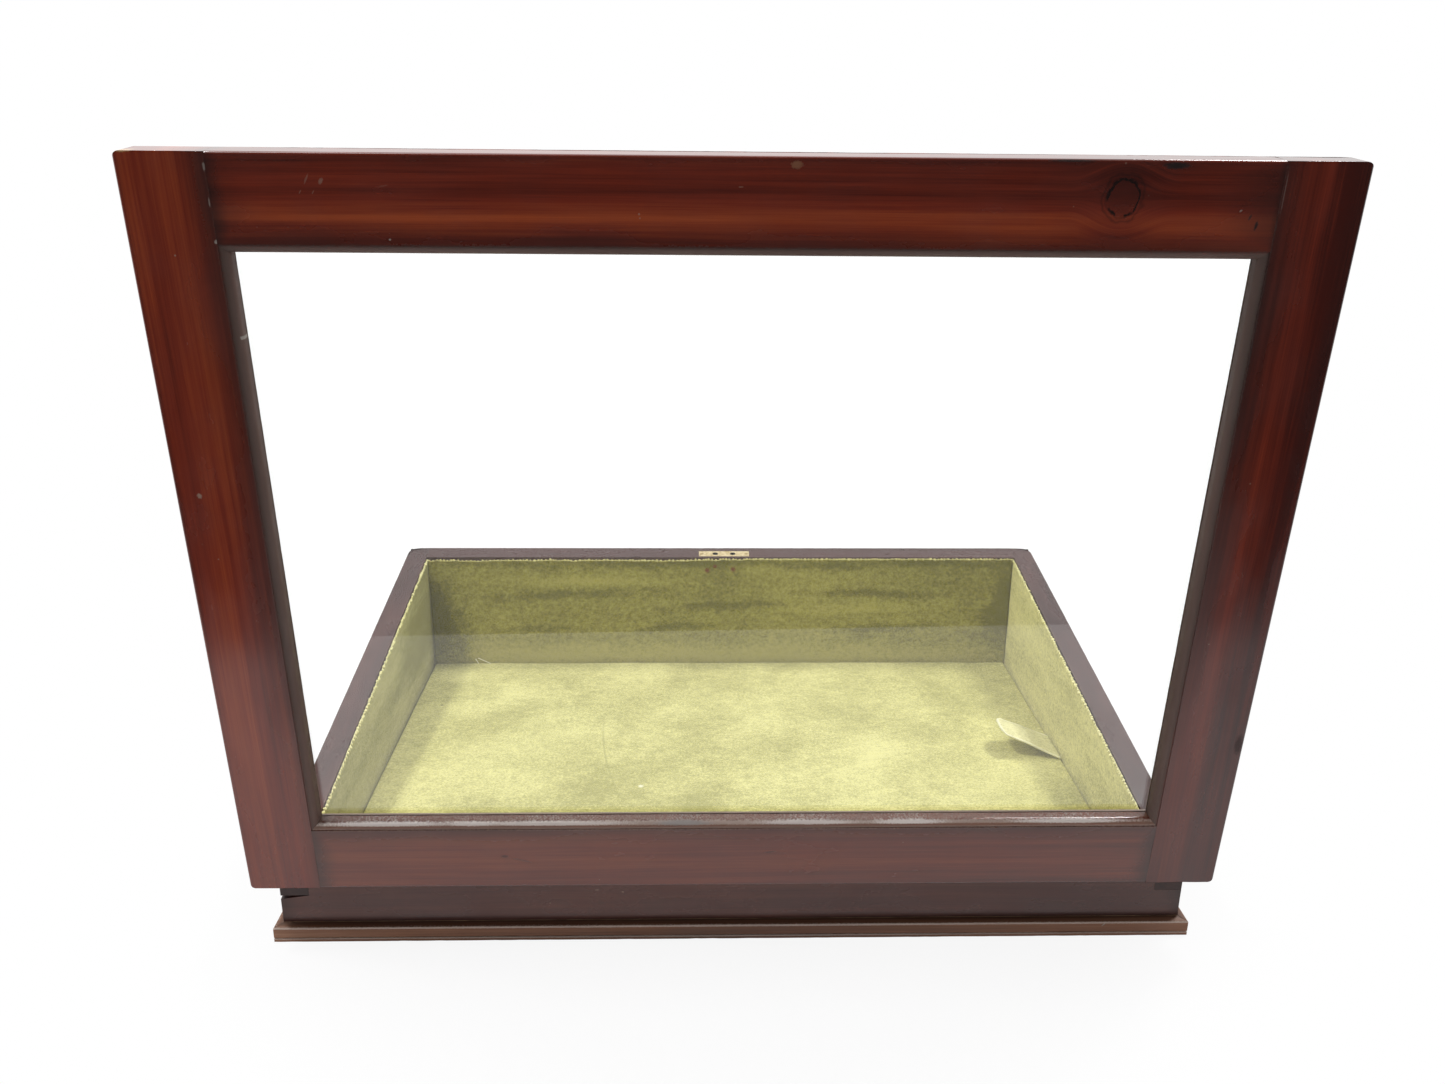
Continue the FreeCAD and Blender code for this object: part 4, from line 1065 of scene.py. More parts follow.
@dataclass
class Carcass:
    """The comb-jointed box and its base moulding."""

    width: float = 0.610
    depth: float = 0.427
    high: float = 0.134
    joint: float = 0.0325
    gape: float = 2.6 * MM

    def break_finger(self, bm: bmesh.types.BMesh) -> None:
        """Open the low left corner joint, where the finger's front corner has broken away.

        Args:
            bm: The front board's shape.
        """
        for vert in bm.verts:
            outer = vert.co.y < -self.depth / 2 + NEAR and vert.co.x < -self.width / 2 + NEAR
            if outer and abs(vert.co.z - self.joint) < NEAR:
                vert.co.z -= self.gape

    def build(self) -> list[bpy.types.Object]:
        """Build every board of the case.

        Returns:
            The pieces.
        """
        left, right, near, far = -self.width / 2, self.width / 2, -self.depth / 2, self.depth / 2
        # The walls darken just above the base moulding, soiling and painted shade where the moulding meets
        # them
        low = GrimeAndShade(True, 12 * MM, 5 * MM, 0.6)
        ends = (GrimeAndShade(False, left, 14 * MM, 0.6), GrimeAndShade(False, right, -14 * MM, 0.6), low)
        sides = (GrimeAndShade(False, near, 12 * MM, 0.4), GrimeAndShade(False, far, -12 * MM, 0.4), low)
        front = Marks(grime_and_shade=ends, face=-near - 2 * MM, spots=(
            Spot(-0.0933, 0.0353, 1.8, 0.6, 0.0, 0.8),
            Spot(-0.0759, 0.0336, 0.9, 0.8, 0.0, 0.7),
            Spot(0.298, 0.0342, 13.0, 0.5, -0.05, 0.95, Tint.PIT_AND_SHADE)))
        # The moulding's top darkens against the wall, a painted shadow line
        seam_shade = (GrimeAndShade(True, 11.8 * MM, -1.6 * MM, 0.8),)
        knocks = tuple(Nick(Vector((x, far, self.high)), 8 * MM, 2.0 * MM) for x in (left, right))
        edges = (Spot(0.0, 10.2 * MM, 900.0, 0.8, 0.0, 0.75, Tint.WORN_AND_HIGHLIGHT),
                 Spot(0.0, 2.2 * MM, 900.0, 0.7, 0.0, 0.6, Tint.WORN_AND_HIGHLIGHT))
        foot = Marks(seam_shade, spots=edges + (Spot(0.2524, 0.009, 2.2, 0.5, 0.7, 0.9, Tint.DUST),))
        rows = (("front_board", CASE_WOOD, Grain.FRONT, 1.3, front, {"damage": self.break_finger}),
                ("back_board", EDGE_WOOD, Grain.FRONT, 2.7, Marks(grime_and_shade=ends), {"nicks": knocks}),
                ("left_side", EDGE_WOOD, Grain.SIDE, 4.1, Marks(grime_and_shade=sides), {"nicks": knocks}),
                ("right_side", EDGE_WOOD, Grain.SIDE, 5.9, Marks(grime_and_shade=sides), {"nicks": knocks}),
                ("bottom_board", BARE_WOOD, Grain.FLAT, 7.3, Marks(), {}))
        boards = [Board(name, "case", "case_wood", finish, grain, seed, marks, **more)
                  for name, finish, grain, seed, marks, more in rows]
        for k, name in enumerate(("front", "back", "left", "right")):
            grain = Grain.FRONT if k < 2 else Grain.SIDE
            boards.append(Board("base_moulding_" + name, "case", "case_wood", BASE_WOOD, grain, 8.2 + k,
                                foot if k == 0 else Marks(seam_shade, spots=edges), arris=1.0 * MM, wear=0.5 * MM))
        return [board.build() for board in boards]


@dataclass
class Lid:
    """The glazed lid frame, its beads and its glass."""

    side: float = 0.316
    face: float = 0.271
    low: float = -12.6 * MM
    low_face: float = 33.0 * MM
    high: float = 0.445988
    high_face: float = 0.400388
    show: float = 9 * MM
    outer: float = 19.2 * MM

    def top_marks(self) -> Marks:
        """List what has happened to the rail at the lid's high end, with painted shade in the chips of its
        top arris.

        Returns:
            The marks.
        """
        return Marks(
            grime_and_shade=(GrimeAndShade(True, self.high_face, 13 * MM, 0.6), GrimeAndShade(True, self.high, -8 * MM, 0.45),
                   GrimeAndShade(False, -self.face, 22 * MM, 0.42), GrimeAndShade(False, self.face, -34 * MM, 0.55),
                   GrimeAndShade(False, -self.face, 13 * MM, 0.8), GrimeAndShade(False, self.face, -9 * MM, 0.75)),
            bands=(Band(0.4150, 0.012, 0.20), Band(0.4370, 0.007, -0.08)),
            knots=(Knot(0.190, 0.4272, 8.4 * MM, 9.2 * MM),), face=self.show, sleek=self.high,
            spots=(Spot(0.0, self.high_face - 3.0 * MM, 600.0, 4.0, 0.0, 0.8, Tint.GREYED_BROWN),
                   Spot(-0.2221, 0.4331, 3.4, 0.6, 1.1, 0.30),
                   Spot(-0.2150, 0.4322, 2.2, 1.2, 1.0, 0.45),
                   Spot(-0.2259, 0.4268, 1.4, 0.4, 1.0, 0.3),
                   Spot(-0.2194, 0.4268, 1.4, 0.4, 1.0, 0.3),
                   Spot(-0.1835, 0.4036, 0.7, 0.6, 0.0, 0.8, Tint.DUST),
                   Spot(-0.0051, 0.4310, 1.6, 0.4, 0.0, 0.35),
                   Spot(-0.1843, 0.4300, 3.0, 0.5, 0.2, 0.14),
                   Spot(0.0228, 0.4420, 3.5, 2.4, 0.0, 0.25, Tint.RAW),
                   # The dark spots at the chips in the top arris are painted shade in them
                   Spot(0.1610, 0.4452, 14.0, 0.8, 0.0, 0.8, Tint.PIT_AND_SHADE),
                   Spot(0.2150, 0.4432, 8.0, 2.0, 0.0, 0.85, Tint.PIT_AND_SHADE),
                   Spot(0.2609, 0.4138, 3.2, 1.0, 1.4, 0.85, Tint.PIT_AND_SHADE),
                   Spot(0.2570, 0.4180, 2.0, 0.8, 1.2, 0.7, Tint.PIT_AND_SHADE),
                   Spot(0.2516, 0.4212, 1.0, 0.6, 0.6, 0.5, Tint.DUST)))

    def foot_marks(self) -> Marks:
        """List what has happened to the rail at the hinges, with the painted highlights along its moulding.

        Returns:
            The marks.
        """
        # The pale band and the brighter streaks along the moulding are painted highlight
        glint = self.low_face + 3.3 * MM
        glints = ((-0.225, 50.0, 1.0), (-0.118, 60.0, 0.8), (-0.170, 20.0, 0.9),
                  (0.045, 40.0, 0.9), (0.110, 30.0, 1.0), (0.215, 45.0, 0.9))
        moulding = (Spot(0.0, self.low_face + 2.0 * MM, 600.0, 3.0, 0.0, 0.55, Tint.RUB),
                    Spot(0.0, self.low_face + 5.0 * MM, 600.0, 0.9, 0.0, 0.42, Tint.RUB),
                    Spot(-0.03, glint, 400.0, 1.2, 0.0, 0.6, Tint.WORN_AND_HIGHLIGHT))
        streaks = tuple(Spot(x, glint, half, 1.25, 0.0, strength, Tint.GLEAM) for x, half, strength in glints)
        marks = (Spot(-0.1500, 0.0120, 3.0, 1.4, 0.0, 0.55, Tint.PIT_AND_SHADE),
                 Spot(-0.1390, 0.0088, 8.0, 1.0, -0.25, 0.35, Tint.PIT_AND_SHADE),
                 Spot(0.0211, 0.0144, 5.0, 0.7, 0.1, 0.55, Tint.PIT_AND_SHADE),
                 Spot(-0.0351, 0.0362, 22.0, 1.5, 0.0, 0.55, Tint.BLOOM))
        return Marks(
            grime_and_shade=(GrimeAndShade(True, self.low_face, -14 * MM, 0.6), GrimeAndShade(False, -self.face, 14 * MM, 0.75),
                   GrimeAndShade(False, self.face, -14 * MM, 0.75), GrimeAndShade(True, self.low, 3 * MM, 0.35)),
            bands=(Band(0.004, 0.020, 0.08),), face=self.show, spots=moulding + streaks + marks)

    def left_marks(self) -> Marks:
        """List what has happened to the left stile.

        Returns:
            The marks.
        """
        return Marks(
            grime_and_shade=(GrimeAndShade(True, self.face, 22 * MM, 0.62), GrimeAndShade(True, self.side, -4 * MM, 0.45),
                   GrimeAndShade(False, self.low, 0.20, 0.35)),
            bands=(Band(0.302, 0.012, -0.05), Band(0.290, 0.05, 0.02)), face=self.show, sleek=self.high,
            spots=(Spot(0.2200, self.face - 3.0 * MM, 600.0, 4.0, 0.0, 0.85, Tint.GREYED_BROWN),
                   Spot(0.4300, 0.2730, 26.0, 5.0, 0.0, 0.22, Tint.PIT_AND_SHADE),
                   Spot(0.4388, 0.2716, 2.6, 0.8, 0.0, 0.45, Tint.DUST),
                   Spot(0.4213, 0.2717, 3.4, 0.45, 0.0, 0.45, Tint.DUST),
                   Spot(0.4018, 0.2714, 1.4, 1.2, 0.0, 0.7, Tint.DUST),
                   Spot(0.3948, 0.2933, 0.6, 0.6, 0.0, 0.8),
                   Spot(0.2625, 0.3030, 1.9, 1.6, 0.4, 0.95),
                   Spot(0.3512, 0.2668, 1.4, 1.0, 0.5, 0.8, Tint.DUST),
                   Spot(0.4464, 0.3112, 1.4, 6.5, 0.0, 0.9, Tint.RAW)))

    def right_marks(self) -> Marks:
        """List what has happened to the right stile.

        Returns:
            The marks.
        """
        return Marks(
            grime_and_shade=(GrimeAndShade(True, -self.face, -24 * MM, 0.7), GrimeAndShade(True, -self.side, 14 * MM, 0.45),
                   GrimeAndShade(False, self.low, 0.32, 0.7)),
            bands=(Band(-0.290, 0.05, -0.18), Band(-0.301, 0.014, -0.08)), face=self.show, sleek=self.high,
            spots=(Spot(0.2200, -self.face + 3.0 * MM, 600.0, 4.0, 0.0, 0.85, Tint.GREYED_BROWN),
                   Spot(0.4300, -0.2724, 14.0, 0.35, 0.0, 0.2, Tint.DUST),
                   Spot(0.0955, -0.3125, 9.0, 3.0, 0.0, 0.5, Tint.PIT_AND_SHADE)))

    def chips(self) -> tuple[Nick, ...]:
        """List the bites out of the lid's top arris.

        Returns:
            The bites.
        """
        rows = ((0.2100, 5.0, 1.3), (0.2175, 4.0, 1.0), (0.1560, 9.0, 0.8),
                (0.1680, 8.0, 0.7), (0.0228, 7.0, 0.5), (-0.110, 4.0, 0.5))
        return tuple(Nick(on_lid(x, self.high, self.outer), reach * MM, depth * MM)
                     for x, reach, depth in rows)

    def build(self) -> list[bpy.types.Object]:
        """Build the frame and dress the glass.

        Returns:
            The wooden pieces.
        """
        stile = {"arris": 0.8 * MM, "shortest": 0.9 * MM, "corner": 3.0 * MM}
        rail = {"arris": 0.8 * MM}
        rows = (("left_stile", LID_WOOD, Grain.STILE, 11.4, self.left_marks(), stile),
                ("right_stile", LID_WOOD, Grain.STILE, 13.8, self.right_marks(), stile),
                ("front_rail", RAIL_WOOD, Grain.RAIL, 15.2, self.foot_marks(), rail),
                ("back_rail", LID_WOOD, Grain.RAIL, 17.6, self.top_marks(), rail | {"nicks": self.chips()}))
        boards = [Board("lid_" + name, "lid", "lid_wood", finish, grain, seed, marks, **shape)
                  for name, finish, grain, seed, marks, shape in rows]
        for k, name in enumerate(("front", "back", "left", "right")):
            grain = Grain.RAIL if k < 2 else Grain.STILE
            finish = DUSTY_WOOD if name == "front" else BEAD_WOOD
            boards.append(Board("glazing_bead_" + name, "lid", "lid_wood", finish, grain, 20.5 + k,
                                arris=0.4 * MM, wear=0.2 * MM))
        dress("glass_pane", GLASS.material("sheet_glass"))
        return [board.build() for board in boards]


@dataclass
class WallLining:
    """One velvet panel glued inside a wall, its top edge frayed."""

    node: str
    wall: str
    start: Vector
    along: Vector
    inward: Vector
    length: float
    low: float
    high_start: float
    high_end: float
    seed: int
    rises: tuple[float, float] = (0.5 * MM, 0.5 * MM)
    rise_at: float = 0.40
    rise_over: float = 0.15
    sways: tuple[tuple[float, float], ...] = ((14.0, 0.6), (55.0, 0.7), (130.0, 0.9))
    highest: float = 1.5 * MM
    crease: float = 0.9 * MM
    crease_often: tuple[float, float] = (9.0, 42.0)
    crease_shift: float = 1.7
    crease_mix: tuple[float, float, float] = (0.35, 0.75, 0.2)
    wander_often: float = 0.6
    wander: float = 1.6
    pucker_often: tuple[float, float] = (40.0, 120.0)
    step: float = 3.2 * MM
    fewest: int = 8
    thick: float = 0.7 * MM
    hem: float = 0.9 * MM
    clump_often: float = 190.0
    tuft_margin: float = 1.0 * MM
    tuft_gap: tuple[float, float] = (2.2, 4.6)
    tuft_thin: tuple[float, float] = (0.8, 1.7)
    tuft_aside: float = 0.4
    tuft_lean: float = 0.5
    tuft_turn: float = 6.28
    tuft_cap: float = 2.0 * MM
    tuft_lift: float = 0.3 * MM

    def edge(self, run: float) -> float:
        """Find the height of the panel's uneven top edge.

        Args:
            run: The place along the wall.

        Returns:
            The height.
        """
        t = run / self.length
        waves = (noise.noise(Vector((run * often, self.seed, often))) * share for often, share in self.sways)
        first, last = self.rises
        change = min(1.0, max(0.0, (t - self.rise_at) / self.rise_over))
        lift = first + (last - first) * change + sum(waves) * MM
        return self.line(run) + min(lift, self.highest)

    def line(self, run: float) -> float:
        """Return the height of the panel's straight cut at a place along the wall."""
        return self.high_start + (self.high_end - self.high_start) * run / self.length

    def hollow(self, along: float, up: float) -> float:
        """Find how far the cloth lies back from its face, in creases that run along the wall.

        Args:
            along: The place along the wall.
            up: The height.

        Returns:
            The depth of the crease.
        """
        often, over = self.crease_often
        spot = Vector((along * often + self.seed, up * over, self.seed * self.crease_shift))
        wave = noise.noise(spot + Vector((0.0, noise.noise(spot * self.wander_often) * self.wander, 0.0)))
        often, over = self.pucker_often
        pucker = noise.noise(Vector((along * often, up * over, self.seed)))
        base, large, small = self.crease_mix
        return self.crease * min(1.0, max(0.0, base + large * wave + small * pucker))

    def build(self, material: bpy.types.Material) -> bpy.types.Object:
        """Build the panel and its frayed edge.

        Args:
            material: The velvet.

        Returns:
            The panel.
        """
        across = max(int(self.length / self.step), self.fewest)
        tall = max(self.high_start, self.high_end) - self.low
        up = max(int(tall / self.step), self.fewest)
        bm = bmesh.new()
        bmesh.ops.create_grid(bm, x_segments=across, y_segments=up, size=0.5)
        layer = bm.verts.layers.float.new("frayed")
        for vert in bm.verts:
            t, h = vert.co.x + 0.5, vert.co.y + 0.5
            row = round(h * up)
            top = self.edge(t * self.length)
            vert[layer] = 1.0 if row == up else 0.0
            height = self.low + (top - self.low) * h
            if row == up - 1:
                height = top - self.hem
            back = self.hollow(t * self.length, height)
            vert.co = self.start + self.along * (t * self.length) - self.inward * back
            vert.co.z = height
        bmesh.ops.recalc_face_normals(bm, faces=bm.faces)
        bm.normal_update()
        if bm.faces[:][0].normal.dot(self.inward) < 0:
            bmesh.ops.reverse_faces(bm, faces=bm.faces)
        smooth_faces(bm)
        piece = add_piece(bm, "velvet_" + self.node, "case", material)
        thicken(piece, self.thick)
        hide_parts(self.node)
        fringe = self.fringe(material)
        return piece

    def fringe(self, material: bpy.types.Material) -> bpy.types.Object:
        """Build the loose thread ends along the top edge.

        Args:
            material: The velvet.

        Returns:
            The threads, as one piece.
        """
        pick = random.Random(self.seed)
        bm = bmesh.new()
        place = self.tuft_margin
        while place < self.length - self.tuft_margin:
            clump = 0.5 + 0.5 * noise.noise(Vector((place * self.clump_often, self.seed, 9.0)))
            half = (0.8 + 1.3 * clump) * pick.uniform(0.6, 1.0) * MM
            thin = pick.uniform(*self.tuft_thin) * MM
            aside = pick.uniform(-self.tuft_aside, self.tuft_aside)
            middle = self.start + self.along * place + self.inward * aside * MM
            middle.z = min(self.edge(place) + self.tuft_lift, self.line(place) + self.tuft_cap - half)
            leans = [pick.uniform(-self.tuft_lean, self.tuft_lean) for _ in range(2)]
            lean = Euler((*leans, pick.uniform(0, self.tuft_turn)))
            tuft = Matrix.Translation(middle) @ lean.to_matrix().to_4x4()
            tuft = tuft @ Matrix.Diagonal((thin, thin, half, 1.0))
            bmesh.ops.create_icosphere(bm, subdivisions=1, radius=1.0, matrix=tuft)
            place += pick.uniform(*self.tuft_gap) * MM
        fray(bm)
        return add_piece(bm, "frayed_" + self.node, "case", material)


@dataclass
class Lining:
    """The four velvet panels on the inside of the walls."""

    half_width: float = 0.286
    half_depth: float = 0.1945
    thick: float = 1.7 * MM
    low: float = 0.012
    wall_low: float = 0.066
    wall_near: float = 0.2135
    drop: float = 0.002

    def top_at(self, y: float) -> float:
        """Return the height of the lining's top edge at a place along the slope."""
        return self.wall_low + (y + self.wall_near) * RISE - self.drop

    def build(self) -> list[bpy.types.Object]:
        """Build the four panels.

        Returns:
            The panels.
        """
        # The left and right panels are a darker and a paler copy of one velvet: painted shade on the left
        # wall, painted light on the right
        velvets = {"back": BACK_VELVET, "front": SIDE_VELVET, "left": SIDE_VELVET.with_painted_light(0.70),
                   "right": SIDE_VELVET.with_painted_light(1.24)}
        rises = {"back": (-0.7 * MM, 0.8 * MM)}
        x, y = self.half_width - self.thick, self.half_depth - self.thick
        left, wide = -self.half_width, 2 * self.half_width
        ahead, aside = Vector((0, 1, 0)), Vector((1, 0, 0))
        near, far = self.top_at(-y), self.top_at(y)
        rows = (("back", "back_board", (left, y, 0), aside, -ahead, wide, far, far, 3),
                ("front", "front_board", (left, -y, 0), aside, ahead, wide, near, near, 5),
                ("left", "left_side", (-x, -y, 0), ahead, aside, 2 * y, near, far, 7),
                ("right", "right_side", (x, -y, 0), ahead, -aside, 2 * y, near, far, 9))
        made = []
        for name, wall, start, along, inward, length, first, last, seed in rows:
            panel = WallLining("lining_" + name, wall, Vector(start), along, inward, length, self.low, first,
                               last, seed)
            panel.rises = rises.get(name, panel.rises)
            made.append(panel.build(velvets[name].material(panel.node + "_velvet")))
        return made


@dataclass
class FloorPad:
    """The lift-out floor, a board wrapped in velvet, with its pull tab."""

    half_x: float = 0.2835
    half_y: float = 0.192
    low: float = 0.012
    top: float = FLOOR_TOP
    round_corner: float = 3 * MM
    round_edge: float = 2.2 * MM
    step: float = 6 * MM
    thick: float = 1.2 * MM
    bump_often: float = 16.0
    bumps: tuple[tuple[float, float], ...] = ((1.0, 0.5), (4.0, 0.2))
    settle: float = 0.4
    thread_thick: tuple[float, float] = (0.45 * MM, 0.35 * MM)
    tab_y: float = 0.0105
    tab_wide: float = 0.0405
    tab_tip: float = 0.0300
    tab_run: float = 0.0495
    tab_rise: float = 0.0210
    tab_lift: float = 1.0 * MM
    tab_skew: float = 2.6 * MM
    tab_bow: float = 1.2 * MM
    tab_cup: float = 5.0 * MM
    tab_wave: float = 0.8 * MM
    tab_ragged: float = 0.5 * MM
    tab_thick: float = 1.1 * MM
    tab_corners: tuple[float, float] = (0.12, 0.08)
    tab_square: float = 3.5
    tab_curl: float = 1.15
    tab_grid: tuple[int, int] = (40, 28)

    def build(self) -> list[bpy.types.Object]:
        """Build the cover and the tab, and dress the board.

        Returns:
            The two velvet pieces.
        """
        core = BARE_WOOD.material("pad_core", Grain.FLAT, 31.0, Marks())
        dress("pad_board", core)
        return [self.cover(), self.tab()]

    def cover(self) -> bpy.types.Object:
        """Build the velvet over the board, its edges rounded and its face a little uneven.

        Returns:
            The cover.
        """
        bm = bmesh.new()
        bmesh.ops.create_cube(bm, size=1.0)
        size = Matrix.Diagonal((2 * self.half_x, 2 * self.half_y, self.top - self.low, 1.0))
        middle = Matrix.Translation((0, 0, (self.top + self.low) / 2))
        bmesh.ops.transform(bm, matrix=middle @ size, verts=bm.verts)
        upright = [e for e in bm.edges if abs(e.verts[0].co.z - e.verts[1].co.z) > MM]
        round_edges(bm, upright, self.round_corner)
        rim = [e for e in bm.edges if min(v.co.z for v in e.verts) > self.top - NEAR]
        round_edges(bm, rim, self.round_edge)
        floor = [f for f in bm.faces if f.normal.z < -0.9]
        bmesh.ops.delete(bm, geom=floor, context="FACES_ONLY")
        for axis, half in ((Vector((1, 0, 0)), self.half_x), (Vector((0, 1, 0)), self.half_y)):
            count = int(2 * half / self.step)
            for k in range(1, count):
                place = axis * (-half + 2 * half * k / count)
                whole = bm.verts[:] + bm.edges[:] + bm.faces[:]
                bmesh.ops.bisect_plane(bm, geom=whole, plane_co=place, plane_no=axis)
        for vert in bm.verts:
            if vert.co.z > self.top - 2.0 * MM:
                vert.co.z += (layered(vert.co * self.bump_often, self.bumps) - self.settle) * MM
        smooth_faces(bm)
        bm.normal_update()
        piece = add_piece(bm, "velvet_pad_cover", "pad", FLOOR_VELVET.material("floor_velvet"))
        thicken(piece, self.thick)
        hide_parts("pad_velvet")
        self.threads()
        return piece

    def threads(self) -> bpy.types.Object:
        """Build the two loose threads that lie at the far left corner.

        Returns:
            The threads, as one piece.
        """
        bm = bmesh.new()
        root, tip = self.thread_thick
        rows = (((-0.2410, 0.1895, 0.0270), (-0.2285, 0.1880, 0.0217)),
                ((-0.2436, 0.1895, 0.0262), (-0.2405, 0.1882, 0.0216)))
        for start, end in rows:
            line = Vector(end) - Vector(start)
            turn = line.to_track_quat("Z", "Y").to_matrix().to_4x4()
            middle = Matrix.Translation((Vector(start) + Vector(end)) / 2)
            bmesh.ops.create_cone(bm, cap_ends=True, segments=5, radius1=root, radius2=tip,
                                  depth=line.length, matrix=middle @ turn)
        fray(bm)
        return add_piece(bm, "loose_threads", "pad", PAINTED_LIGHT_TAB_VELVET.material("thread_velvet"))

    def tab(self) -> bpy.types.Object:
        """Build the tab, a tongue of the same velvet that springs up from the wall.

        Returns:
            The tab.
        """
        bm = bmesh.new()
        along, across = self.tab_grid
        bmesh.ops.create_grid(bm, x_segments=along, y_segments=across, size=0.5)
        layer = bm.verts.layers.float.new("frayed")
        far, near = self.tab_corners
        root = self.half_x - 1.0 * MM
        for vert in bm.verts:
            s, t = vert.co.x + 0.5, vert.co.y
            short = (far if t > 0 else near) * (2 * abs(t)) ** self.tab_square
            ragged = noise.noise(Vector((t * 26.0, 3.0, 0.0))) * 0.02 * max(0.0, s - 0.8) * 5
            run = s * (1.0 - short * s + ragged)
            wide = self.tab_wide + (self.tab_tip - self.tab_wide) * run
            edge = noise.noise(Vector((s * 24.0, 8.0, t))) * self.tab_ragged if abs(t) > 0.49 else 0.0
            middle = self.tab_y + self.tab_skew * run
            bow = math.sin(math.pi * run) * self.tab_bow - (t * t - 0.08) * self.tab_cup * run
            wave = noise.noise(Vector((s * 4.0, t * 3.0, 5.0))) * self.tab_wave * run
            lift = self.tab_lift + self.tab_rise * run ** self.tab_curl + bow + wave
            vert[layer] = 0.8 if abs(t) > 0.46 or s > 0.97 else 0.0
            side = middle + t * wide + math.copysign(edge, t)
            vert.co = Vector((root - self.tab_run * run, side, self.top + lift))
        bmesh.ops.recalc_face_normals(bm, faces=bm.faces)
        smooth_faces(bm)
        cut = sum(face.calc_area() for face in bm.faces)
        # The tab's velvet is a paler copy of the floor's, painted light
        piece = add_piece(bm, "velvet_pull_tab", "pad", PAINTED_LIGHT_TAB_VELVET.material("tab_velvet"))
        thicken(piece, self.tab_thick, 0.0)
        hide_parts("pull_tab")
        return piece


@dataclass
class Screws:
    """A row of slotted wood screws in one node."""

    node: str
    body: str
    turn: float
    spots: tuple[Place, ...]
    up: float
    head: float
    shank: float
    sink: float
    length: float
    slot_half: float = 0.16
    slot_deep: float = 0.45
    tip: float = 0.7
    facets: int = 28
    twist: float = 0.6
    twist_step: float = 1.9

    def build(self, material: bpy.types.Material) -> bpy.types.Object:
        """Build the screws, each with a slot across its head.

        Args:
            material: Their metal.

        Returns:
            The screws, as one piece.
        """
        bm = bmesh.new()
        lean = Matrix.Translation(HINGE) @ Matrix.Rotation(self.turn, 4, "X")
        for k, spot in enumerate(self.spots):
            flip = Matrix.Identity(4) if self.up > 0 else Matrix.Rotation(math.pi, 4, "X")
            twist = Matrix.Rotation(self.twist + self.twist_step * k, 4, "Z")
            self.one(bm, lean @ Matrix.Translation(spot) @ flip @ twist)
        piece = add_piece(bm, "slotted_" + self.node, self.body, material)
        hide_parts(self.node)
        return piece

    def one(self, bm: bmesh.types.BMesh, place: Matrix) -> None:
        """Add one screw with its head up at a place.

        Args:
            bm: The mesh to add to.
            place: The screw's place and turn.
        """
        screw = bmesh.new()
        bmesh.ops.create_circle(screw, cap_ends=True, segments=self.facets, radius=self.head)
        for side in (-1, 1):
            whole = screw.verts[:] + screw.edges[:] + screw.faces[:]
            bmesh.ops.bisect_plane(screw, geom=whole, plane_co=(0, side * self.slot_half * self.head, 0),
                                   plane_no=(0, 1, 0))
        slot = min(screw.faces, key=lambda f: abs(f.calc_center_median().y))
        rim = [e for e in screw.edges if e.is_boundary]
        sunk = bmesh.ops.extrude_face_region(screw, geom=[slot])["geom"]
        bmesh.ops.delete(screw, geom=[slot], context="FACES_ONLY")
        down = [v for v in sunk if isinstance(v, bmesh.types.BMVert)]
        bmesh.ops.translate(screw, verts=down, vec=(0, 0, -self.slot_deep * self.sink))
        rim = [e for e in rim if e.is_valid]
        for size, fall in ((self.shank / self.head, self.sink), (self.tip, self.length - self.sink)):
            grown = bmesh.ops.extrude_edge_only(screw, edges=rim)["geom"]
            verts = [v for v in grown if isinstance(v, bmesh.types.BMVert)]
            bmesh.ops.scale(screw, vec=(size, size, 1), verts=verts)
            bmesh.ops.translate(screw, verts=verts, vec=(0, 0, -fall))
            rim = [e for e in grown if isinstance(e, bmesh.types.BMEdge)]
        bmesh.ops.holes_fill(screw, edges=rim)
        bmesh.ops.recalc_face_normals(screw, faces=screw.faces)
        bmesh.ops.transform(screw, matrix=place, verts=screw.verts)
        scratch = bpy.data.meshes.new("screw")
        screw.to_mesh(scratch)
        screw.free()
        bm.from_mesh(scratch)
        bpy.data.meshes.remove(scratch)


